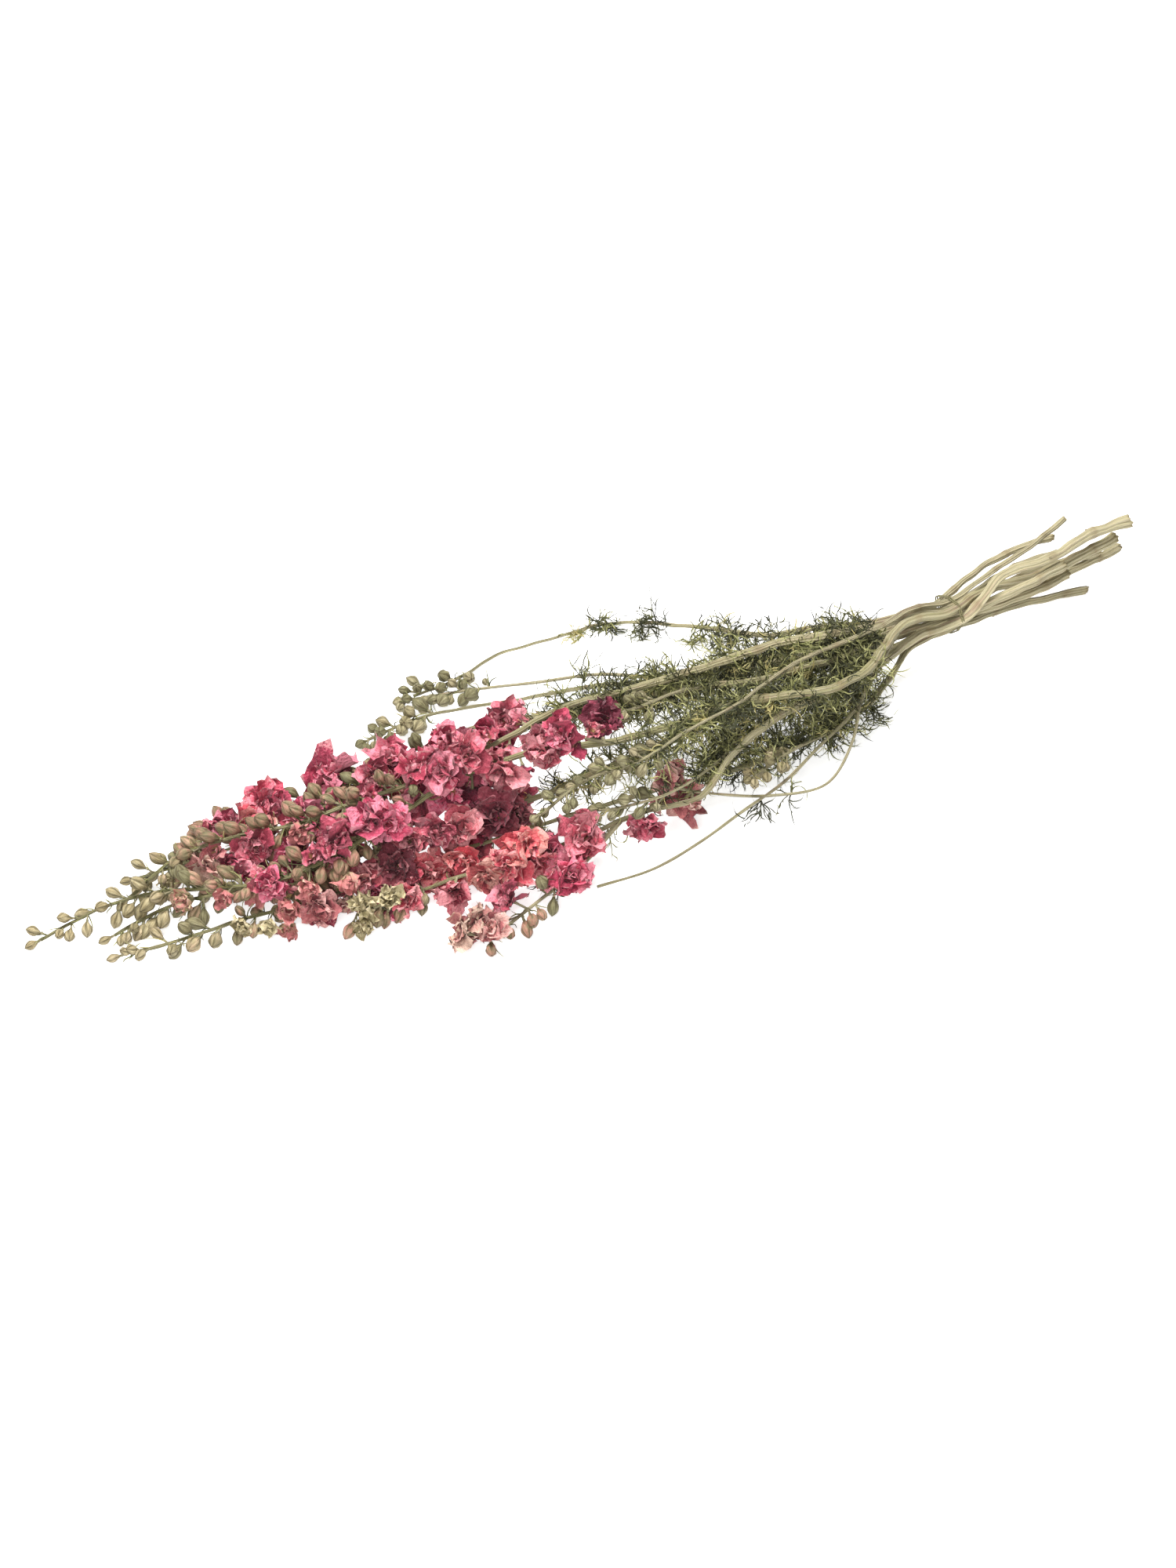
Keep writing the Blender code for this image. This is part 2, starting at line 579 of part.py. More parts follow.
def likely_places(axes, kind, column, row, size):
    """Where a flower seen at a picture point could grow, the likeliest first. From each near sample of each
    stem that has such flowers, a stalk of each length may reach the sight line in front of it or behind."""
    _, _, back = sight_axes()
    eye = np.array(SIGHT_TARGET) + back * SIGHT_DISTANCE
    sight = unit(spot(column, row, 0.0) - eye)
    places = []
    for axis in axes.values():
        if kind not in axis.plan:
            continue
        first, last = axis.plan[kind]
        lowest, highest = max(last, column) - ROOT_AHEAD, min(first, column + ROOT_BEHIND)
        for index in np.flatnonzero((axis.columns > lowest) & (axis.columns < highest)):
            root = axis.line[index]
            foot = eye + sight * ((root - eye) @ sight)
            aside = np.linalg.norm(foot - root)
            for stalk in STALKS:
                reach = axis.radii[index] + stalk * MM + CENTRE * size
                if aside >= reach:
                    continue
                for side in (-1.0, 1.0):
                    centre = foot + sight * side * math.sqrt(reach**2 - aside**2)
                    direction = unit(centre - root)
                    lean = direction @ axis.direction(index)
                    cost = abs(lean - USUAL_LEAN) + STALK_COST * stalk + FAR_SIDE_COST * (side > 0.0)
                    if LEAST_LEAN < lean < MOST_LEAN:
                        base = root + direction * (reach - CENTRE * size)
                        places.append((cost, axis.name, int(index), base, direction))
    return sorted(places, key=lambda place: place[:3])


def place_flowers(axes, crowd, kind, spots, shape, seed):
    """Blooms or florets where the picture shows them, each at its likeliest place that is clear of the rest.
    A bloom goes where it also touches its stem's others, if one of its first places does."""
    draw = random.Random(seed)
    placed = []
    pink = kind == "blooms"
    for order, (column, row, radius) in enumerate(spots):
        angle = GOLDEN_ANGLE * order
        for attempt in range(ROUNDS):
            size = radius * MM * ROUND_SHRINK**attempt
            across = column + draw.uniform(-ASIDE, ASIDE) * attempt
            down = row + draw.uniform(-ASIDE, ASIDE) * attempt
            choices = []
            for _, name, index, base, direction in likely_places(axes, kind, across, down, size):
                axis = axes[name]
                owner = axis.stem + "_blooms" if pink else axis.stem
                rods = flower_rods(base, direction, size, angle, shape)
                stalk = (axis.line[index] + direction * axis.radii[index], base, STALK_RADIUS)
                if not crowd.clear(owner, rods, PETAL_SINK, BLOOM_OVERLAP if pink else 0.0):
                    continue
                if not crowd.clear(axis.stem, [stalk]):
                    continue
                flower = Flower(axis, axis.line[index], base, direction, size, angle)
                choices.append((owner, rods, stalk, flower))
                if pink and crowd.touches(owner, rods):
                    choices = choices[-1:]
                    break
                if len(choices) == CHOICES:
                    break
            if choices:
                owner, rods, stalk, flower = choices[0]
                crowd.add(owner, rods)
                crowd.add(flower.axis.stem, [stalk])
                placed.append(flower)
                break
    return placed


def spread_columns(span):
    first, last, count = span
    return [first + (last - first) * (k + 0.5) / count for k in range(count)]


class Bud:
    """A closed bud: where its stalk leaves the axis, where the bud starts, its facing and its length."""

    def __init__(self, axis, root, base, direction, length):
        self.axis, self.root, self.base = axis, root, base
        self.direction, self.length = direction, length


def place_buds(axes, crowd, seed):
    """Buds up each tip, smaller towards the end, turned by the golden angle, with the last one on the tip."""
    draw = random.Random(seed)
    placed = []
    for axis in axes.values():
        span = axis.plan.get("buds", (0, 0, 0))
        for order, column in enumerate(spread_columns(span)):
            index = min(axis.at(column), len(axis.line) - 2)
            size = BUD_LENGTH * (1.05 - BUD_SHRINK * (order + 0.5) / span[2])
            for attempt in range(SMALL_ATTEMPTS):
                angle = GOLDEN_ANGLE * order + draw.uniform(-0.4, 0.4) + attempt * 0.9
                direction = outwards(axis, index, angle, draw.uniform(*SIDE_LEAN))
                stalk = axis.radii[index] + draw.uniform(*BUD_STALK) * MM
                if order == span[2] - 1:
                    index = len(axis.line) - 2
                    direction = unit(axis.direction(index) + 0.05 * attempt * direction)
                    stalk = np.linalg.norm(axis.line[-1] - axis.line[-2]) + 1.0 * MM
                root = axis.line[index]
                base = root + direction * stalk
                body = (base + direction * size * 0.3, base + direction * size * 0.7, size * BUD_GIRTH / 2)
                rods = [(root + direction * axis.radii[index], base, STALK_RADIUS), body]
                if crowd.clear(axis.stem, rods):
                    crowd.add(axis.stem, rods)
                    placed.append(Bud(axis, root, base, direction, size))
                    break
    return placed


class Frond:
    """A thread-leaved frond: its rib from the axis to its hub, and the tips of its threads round it."""

    def __init__(self, axis, root, hub, tips):
        self.axis, self.root, self.hub, self.tips = axis, root, hub, tips


def place_fronds(axes, crowd, seed):
    """Fronds up the leafy stretch of each axis. A thread that would touch another stem is shortened."""
    draw = random.Random(seed)
    placed = []
    for axis in axes.values():
        for order, column in enumerate(spread_columns(axis.plan.get("fronds", (0, 0, 0)))):
            index = axis.at(column)
            for attempt in range(SMALL_ATTEMPTS):
                angle = GOLDEN_ANGLE * order + draw.uniform(-0.5, 0.5) + attempt * 0.8
                direction = outwards(axis, index, angle, draw.uniform(*SIDE_LEAN))
                root = axis.line[index]
                length = draw.uniform(*RIB_LENGTH) * MM * (1.0 - RIB_SHRINK * attempt)
                hub = root + direction * (axis.radii[index] + length)
                rib = [(root + direction * axis.radii[index], hub, HUB_RADIUS)]
                if crowd.clear(axis.stem, rib):
                    break
            else:
                continue
            crowd.add(axis.stem, rib)
            first, second = facing(direction)
            tips = []
            for thread in range(FROND_THREADS):
                turn = math.tau * (thread + 0.5) / FROND_THREADS
                out = first * math.cos(turn) + second * math.sin(turn)
                lean = draw.uniform(*(STEEP_THREAD if thread % 2 else FLAT_THREAD))
                way = out * math.sin(lean) + direction * math.cos(lean)
                length = draw.uniform(*THREAD_LENGTH) * MM
                while length > SHORTEST_THREAD:
                    rod = [(hub + way * HUB_RADIUS, hub + way * length, THREAD_RADIUS)]
                    if crowd.clear(axis.stem, rod):
                        crowd.add(axis.stem, rod)
                        break
                    length *= 0.75
                tips.append(hub + way * length)
            placed.append(Frond(axis, root, hub, tips))
    return placed


def material(name, colour, roughness):
    made = bpy.data.materials.new(name)
    made.use_nodes = True
    shader = made.node_tree.nodes["Principled BSDF"]
    shader.inputs["Base Color"].default_value = (*colour, 1.0)
    shader.inputs["Roughness"].default_value = roughness
    shader.inputs["Metallic"].default_value = 0.0
    return made


def new_object(name, points, faces, finish):
    mesh = bpy.data.meshes.new(name)
    mesh.from_pydata([tuple(point) for point in points], [], faces)
    mesh.materials.append(finish)
    mesh.shade_smooth()
    form = bmesh.new()
    form.from_mesh(mesh)
    if form.calc_volume(signed=True) < 0.0:
        bmesh.ops.reverse_faces(form, faces=form.faces)
    form.to_mesh(mesh)
    form.free()
    made = bpy.data.objects.new(name, mesh)
    bpy.context.scene.collection.objects.link(made)
    return made


def rings_to_solid(rings, pole=None):
    """A closed surface through rings of points. A ring may have as many as the next, half or double."""
    points = [point for ring in rings for point in ring]
    offsets = np.cumsum([0] + [len(ring) for ring in rings])
    faces = []
    for low, high, first, second in zip(offsets, offsets[1:], rings, rings[1:]):
        m, n = len(first), len(second)
        if m == n:
            for k in range(m):
                j = (k + 1) % m
                faces += [(low + k, low + j, high + j), (low + k, high + j, high + k)]
        elif m > n:
            for k in range(n):
                a, b, c = low + 2 * k, low + 2 * k + 1, low + (2 * k + 2) % m
                here, there = high + k, high + (k + 1) % n
                faces += [(a, b, here), (b, there, here), (b, c, there)]
        else:
            for k in range(m):
                a, b, c = high + 2 * k, high + 2 * k + 1, high + (2 * k + 2) % n
                here, there = low + k, low + (k + 1) % m
                faces += [(b, a, here), (here, there, b), (c, b, there)]
    faces.append(tuple(reversed(range(len(rings[0])))))
    last = list(range(offsets[-2], offsets[-1]))
    if pole is None:
        faces.append(tuple(last))
        return points, faces
    faces += [(a, b, len(points)) for a, b in zip(last, last[1:] + last[:1])]
    return points + [pole], faces


def tube(line, radii, sides):
    """Rings of sides points square to a line, carried along it without twist, with flat ends."""
    line = np.asarray(line)
    ahead = np.gradient(line, axis=0)
    ahead /= np.linalg.norm(ahead, axis=1)[:, None]
    first = facing(ahead[0])[0]
    rings = []
    for point, direction, radius in zip(line, ahead, radii):
        first = unit(first - direction * (first @ direction))
        second = np.cross(direction, first)
        turns = [math.tau * k / sides for k in range(sides)]
        rings.append([point + radius * (first * math.cos(t) + second * math.sin(t)) for t in turns])
    return rings_to_solid(rings)


def stalk_solid(bloom):
    return tube([bloom.root, bloom.base], [STALK_RADIUS, STALK_RADIUS], 3)


def bud_solid(bud):
    """A stalk that swells into a bud, widest before its middle and closing to a point."""
    belly = bud.length * BUD_GIRTH / 2
    root = ring_of(bud.root, bud.direction, 0.0, [STALK_RADIUS] * 3, [0.0] * 3)
    base = ring_of(bud.base, bud.direction, 0.0, [STALK_RADIUS] * 3, [0.0] * 3)
    widest = ring_of(bud.base, bud.direction, 0.0, [belly] * 6, [BUD_WIDEST * bud.length] * 6)
    return rings_to_solid([root, base, widest], bud.base + bud.direction * bud.length)


def ring_of(base, direction, turn, radii, heights):
    """Points round a direction at the given radii and heights, the first at angle turn."""
    first, second = facing(direction)
    count = len(radii)
    ring = []
    for k, (radius, height) in enumerate(zip(radii, heights)):
        angle = turn + math.tau * k / count
        out = first * math.cos(angle) + second * math.sin(angle)
        ring.append(base + out * radius + direction * height)
    return ring


def petal_ring(flower, draw, radii, heights):
    """Petal tips and the notches between them, given as shares of the flower's radius, a little uneven."""
    reach = [radius * flower.radius * draw.uniform(1.0 - UNEVEN, 1.0 + UNEVEN) for radius in radii]
    rise = [(height + draw.uniform(-UNEVEN, UNEVEN)) * flower.radius for height in heights]
    return ring_of(flower.base, flower.direction, flower.angle, reach, rise)


def bloom_solid(flower, draw):
    """A double bloom: five ragged outer petals laid open, and five inner ones standing up in their gaps."""
    r = flower.radius
    base = ring_of(flower.base, flower.direction, flower.angle, [0.1 * r] * 5, [STALK_GAP] * 5)
    outer = petal_ring(flower, draw, *BLOOM_OUTER)
    inner = petal_ring(flower, draw, *BLOOM_INNER)
    return rings_to_solid([base, outer, inner], flower.base + flower.direction * BLOOM_HEART * r)


def floret_solid(flower, draw):
    """A half-open floret on its stalk: a cup of five sepals whose tips part round a ragged mouth."""
    root = ring_of(flower.root, flower.direction, flower.angle, [STALK_RADIUS] * 5, [0.0] * 5)
    base = ring_of(flower.base, flower.direction, flower.angle, [STALK_RADIUS * 1.2] * 5, [0.0] * 5)
    cup = petal_ring(flower, draw, *FLORET_CUP)
    lips = petal_ring(flower, draw, *FLORET_LIPS)
    heart = flower.base + flower.direction * FLORET_HEART * flower.radius
    return rings_to_solid([root, base, cup, lips], heart)


def frond_solid(frond):
    """A slim rib that opens at its hub into pointed threads, each on its own stretch of the hub's rim."""
    direction = unit(frond.hub - frond.root)
    count = len(frond.tips)
    root = ring_of(frond.root, direction, 0.0, [RIB_RADIUS] * (count // 2), [0.0] * (count // 2))
    back = ring_of(frond.hub, direction, 0.0, [HUB_RADIUS] * count, [-THREAD_RADIUS] * count)
    front = ring_of(frond.hub, direction, 0.0, [HUB_RADIUS] * count, [THREAD_RADIUS] * count)
    points, faces = rings_to_solid([root, back])
    points, faces = points + front, faces[:-1]
    low, high = len(root), len(root) + count
    for k, tip in enumerate(frond.tips):
        j = (k + 1) % count
        points.append(tip)
        end = len(points) - 1
        rim = [low + k, low + j, high + j, high + k]
        faces += [(a, b, end) for a, b in zip(rim, rim[1:] + rim[:1])]
    faces.append(tuple(range(high, high + count)))
    return points, faces


def cut_at_table(obj):
    """Trims what sinks below the table, which leaves the small flat spots that the bunch rests on."""
    heights = [vertex.co.z for vertex in obj.data.vertices]
    if min(heights) > -1e-5:
        return
    form = bmesh.new()
    form.from_mesh(obj.data)
    everything = form.verts[:] + form.edges[:] + form.faces[:]
    cut = bmesh.ops.bisect_plane(
        form, geom=everything, dist=1e-7, plane_co=(0, 0, 0), plane_no=(0, 0, -1), clear_outer=True
    )
    edges = [item for item in cut["geom_cut"] if isinstance(item, bmesh.types.BMEdge)]
    bmesh.ops.holes_fill(form, edges=edges)
    form.to_mesh(obj.data)
    form.free()


def join(body, parts):
    """Joins parts into body as one closed surface. The exact solver is slow on so many thin parts."""
    group = bpy.data.collections.new(body.name + "_parts")
    bpy.context.scene.collection.children.link(group)
    for part in parts:
        bpy.context.scene.collection.objects.unlink(part)
        group.objects.link(part)
    union = body.modifiers.new("grown together", "BOOLEAN")
    union.operation = "UNION"
    union.operand_type = "COLLECTION"
    union.collection = group
    union.solver = "MANIFOLD"
    bpy.context.view_layer.objects.active = body
    bpy.ops.object.modifier_apply(modifier=union.name)
    for part in list(group.objects):
        bpy.data.objects.remove(part)
    bpy.data.collections.remove(group)
    keep_main_body(body)


def keep_main_body(obj):
    """Fills a hollow that joining sealed and drops a loose scrap, then merges faces that are all but flat."""
    form = bmesh.new()
    form.from_mesh(obj.data)
    left = set(form.verts)
    bodies = []
    while left:
        body, edge = set(), [left.pop()]
        while edge:
            vert = edge.pop()
            body.add(vert)
            for link in vert.link_edges:
                other = link.other_vert(vert)
                if other in left:
                    left.remove(other)
                    edge.append(other)
        bodies.append(body)
    bodies.sort(key=len)
    for body in bodies[:-1]:
        bmesh.ops.delete(form, geom=list(body), context="VERTS")
    bmesh.ops.dissolve_limit(form, angle_limit=FLAT_ENOUGH, verts=form.verts, edges=form.edges)
    bmesh.ops.triangulate(form, faces=form.faces)
    form.to_mesh(obj.data)
    form.free()


def touching_groups(blooms, objects):
    """Blooms of one stem in groups whose petals run into each other, in order up the stem."""
    trees = []
    for obj in objects:
        form = bmesh.new()
        form.from_mesh(obj.data)
        trees.append(BVHTree.FromBMesh(form))
        form.free()
    groups = []
    for number, bloom in enumerate(blooms):
        met = [
            group
            for group in groups
            if any(blooms[k].axis.stem == bloom.axis.stem and trees[k].overlap(trees[number]) for k in group)
        ]
        groups = [group for group in groups if group not in met]
        groups.append(sorted(sum(met, [number])) if met else [number])
    return sorted(groups)


def make_tie(axes, finish):
    """A thin elastic wound twice round the neck: a closed ring whose section is two touching threads."""
    neck = spot(*NECK_SPOT)
    held = []
    for axis in axes.values():
        for point, radius in zip(axis.line, axis.radii):
            if abs(point[0] - neck[0]) < TIE_REACH:
                held.append((*point[1:], radius))
    held = np.array(held)
    middle = held[:, :2].mean(axis=0)
    turns = np.linspace(0.0, math.tau, 24, endpoint=False)
    out = np.column_stack([np.cos(turns), np.sin(turns)])
    reach = ((held[None, :, :2] - middle) * out[:, None, :]).sum(2) + held[None, :, 2] * 1.06
    hull = reach.max(axis=1) + TIE_GAP + TIE_THREAD
    fit = np.array([min(h / (o @ p) for h, o in zip(hull, out) if o @ p > 0.2) for p in out])
    section = []
    for side in (-1, 1):
        for k in range(3):
            angle = math.radians((120 if side < 0 else -60) + 60 * k)
            along = side * TIE_TURN_PITCH / 2 + TIE_THREAD * math.cos(angle)
            section.append((along, TIE_THREAD * math.sin(angle)))
    points, faces = [], []
    for (cosine, sine), radius in zip(out, fit):
        for along, proud in section:
            away = radius + proud
            points.append((neck[0] + along, middle[0] + cosine * away, middle[1] + sine * away))
    count = len(section)
    for k in range(len(turns)):
        j = (k + 1) % len(turns)
        for m in range(count):
            n = (m + 1) % count
            faces.append((k * count + m, j * count + m, j * count + n, k * count + n))
    return new_object("tie", points, faces, finish)


def build():
    for old in list(bpy.data.objects):
        bpy.data.objects.remove(old)
    green = material("dried_stem_and_leaf", colour=(0.36, 0.34, 0.16), roughness=0.8)
    pink = material("dried_petal", colour=(0.62, 0.11, 0.22), roughness=0.7)
    elastic = material("elastic_tie", colour=(0.2, 0.2, 0.1), roughness=0.5)
    axes = lay_stems()
    crowd = Crowd()
    for axis in axes.values():
        thick = np.maximum(axis.radii[:-1], axis.radii[1:])
        crowd.add(axis.stem, list(zip(axis.line[:-1], axis.line[1:], thick)))
    blooms = place_flowers(axes, crowd, "blooms", BLOOM_SPOTS, BLOOM_RODS, seed=11)
    florets = place_flowers(axes, crowd, "florets", FLORET_SPOTS, FLORET_RODS, seed=23)
    buds = place_buds(axes, crowd, seed=37)
    fronds = place_fronds(axes, crowd, seed=41)
    shapes = random.Random(53)
    grown = {name: [] for name in STEMS}
    for axis in axes.values():
        sides = STEM_SIDES if axis.name in STEMS else SHOOT_SIDES
        grown[axis.stem].append(tube(axis.knots, axis.knot_radii, sides))
    for bloom in blooms:
        grown[bloom.axis.stem].append(stalk_solid(bloom))
    for floret in florets:
        grown[floret.axis.stem].append(floret_solid(floret, shapes))
    for bud in buds:
        grown[bud.axis.stem].append(bud_solid(bud))
    for frond in fronds:
        grown[frond.axis.stem].append(frond_solid(frond))
    made = []
    for name, solids in grown.items():
        parts = [new_object(f"{name}_{number}", *solid, green) for number, solid in enumerate(solids)]
        parts[0].name = name
        join(parts[0], parts[1:])
        made.append(parts[0])
    petals = [bloom_solid(bloom, shapes) for bloom in blooms]
    heads = [new_object(f"head_{number}", *solid, pink) for number, solid in enumerate(petals)]
    counts = dict.fromkeys(STEMS, 0)
    for group in touching_groups(blooms, heads):
        stem = blooms[group[0]].axis.stem
        counts[stem] += 1
        head = heads[group[0]]
        head.name = f"blooms_{stem[-2:]}_{counts[stem]:02d}"
        if len(group) > 1:
            join(head, [heads[k] for k in group[1:]])
        made.append(head)
    made.append(make_tie(axes, elastic))
    for obj in made:
        cut_at_table(obj)


build()
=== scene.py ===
"""The tied bunch of dried pink larkspur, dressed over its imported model.

The stems, side shoots, blooms, florets, buds and fronds are laid out by the same rules and seeds as the
model, so each stands where its solid is. +X runs from the flower tips to the cut ends and +Z is up.
"""

import copy
import json
import math
import random

import bpy
import numpy as np
from mathutils import Matrix

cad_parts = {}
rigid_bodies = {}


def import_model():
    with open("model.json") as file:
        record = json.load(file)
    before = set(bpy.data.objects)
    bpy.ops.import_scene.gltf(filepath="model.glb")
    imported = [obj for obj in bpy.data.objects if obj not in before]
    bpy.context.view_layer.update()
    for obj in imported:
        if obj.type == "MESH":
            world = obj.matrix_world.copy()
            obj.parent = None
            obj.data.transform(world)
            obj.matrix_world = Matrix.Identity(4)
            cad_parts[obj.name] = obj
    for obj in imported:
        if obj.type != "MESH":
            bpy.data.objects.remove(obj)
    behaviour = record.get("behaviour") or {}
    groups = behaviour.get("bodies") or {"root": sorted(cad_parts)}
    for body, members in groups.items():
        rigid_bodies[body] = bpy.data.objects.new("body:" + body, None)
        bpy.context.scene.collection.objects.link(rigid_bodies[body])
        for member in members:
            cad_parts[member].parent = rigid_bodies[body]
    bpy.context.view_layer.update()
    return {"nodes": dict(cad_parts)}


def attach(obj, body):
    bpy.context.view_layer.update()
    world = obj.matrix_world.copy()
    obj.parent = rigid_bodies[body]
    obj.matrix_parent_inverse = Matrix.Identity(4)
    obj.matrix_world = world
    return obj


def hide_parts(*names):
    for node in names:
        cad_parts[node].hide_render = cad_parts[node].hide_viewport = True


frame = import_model()
MM = 0.001


# The view. The photograph looks down at the bunch from its front left, along the flowers. The same view
# turns a picture point and a height above the table into a place, which is how every stem was laid out.

PICTURE_WIDTH, PICTURE_HEIGHT = 1500.0, 2000.0
PICTURE_MIDDLE = (PICTURE_WIDTH / 2, PICTURE_HEIGHT / 2)
LENS = 100.0
SENSOR = 36.0
FOCAL = LENS / SENSOR * PICTURE_HEIGHT
SIGHT_AZIMUTH = math.radians(-32.4)
SIGHT_ELEVATION = math.radians(38.0)
SIGHT_DISTANCE = 2.36
SIGHT_TARGET = (-0.0235, -0.0158, 0.0)


def sight_axes():
    """Right, up and towards the eye, as unit vectors of the picture's view."""
    sine, cosine = math.sin(SIGHT_AZIMUTH), math.cos(SIGHT_AZIMUTH)
    right = np.array([cosine, sine, 0.0])
    level, rise = math.cos(SIGHT_ELEVATION), math.sin(SIGHT_ELEVATION)
    back = np.array([sine * level, -cosine * level, rise])
    return right, np.cross(back, right), back


RIGHT, UP, BACK = sight_axes()
EYE = np.array(SIGHT_TARGET) + BACK * SIGHT_DISTANCE


def spot(column, row, height):
    """The place seen at a picture point, at that height in mm, where its sight line comes down to it."""
    line = RIGHT * (column - PICTURE_MIDDLE[0]) + UP * (PICTURE_MIDDLE[1] - row) - BACK * FOCAL
    return EYE + line * ((height * MM - EYE[2]) / line[2])


def picture_point(place):
    """The picture column and row at which a place is seen."""
    away = np.asarray(place) - EYE
    scale = FOCAL / -(away @ BACK)
    return PICTURE_MIDDLE[0] + away @ RIGHT * scale, PICTURE_MIDDLE[1] - away @ UP * scale


def shown(name, data):
    """A new object of the scene, which shows a mesh, a lamp or a camera."""
    made = bpy.data.objects.new(name, data)
    bpy.context.scene.collection.objects.link(made)
    return made


def aimed(place, across, up, back):
    """The placement of a camera or lamp that points the other way from back."""
    return Matrix.Translation(place) @ Matrix(np.column_stack([across, up, back]).tolist()).to_4x4()


lens = bpy.data.cameras.new("photograph")
lens.lens = LENS
lens.sensor_width = SENSOR
lens.sensor_fit = "AUTO"
camera = shown("photograph", lens)
camera.matrix_world = aimed(EYE, RIGHT, UP, BACK)
bpy.context.scene.camera = camera


# Stems. Ten cut larkspur stems and the side shoots that some carry, ribbed lengthwise, dried to straw and
# olive, with a swollen joint wherever a leaf grew. They cross at the neck, where the elastic holds them.

NECK_SPOT = (1212, 784, 25)
KNOT_STEP = 33.0 * MM
SAMPLES_A_KNOT = 7
# A route is first read this finely, in shares of the way from one of its points to the next.
ROUTE_STEP = 1 / 16
TIP_RADIUS = 0.6 * MM
# Crossing stems are moved apart to STEM_GAP, in this many rounds. In each, a knot goes a share of the way.
STEM_GAP = 0.5 * MM
STEM_ROUNDS = 120
SHOOT_ROUNDS = 80
NUDGE = 0.45
# What else grows keeps GAP to other stems, and nothing is pressed into the table deeper than SINK.
GAP = 0.35 * MM
SINK = 0.4 * MM
GOLDEN_ANGLE = math.radians(137.5)
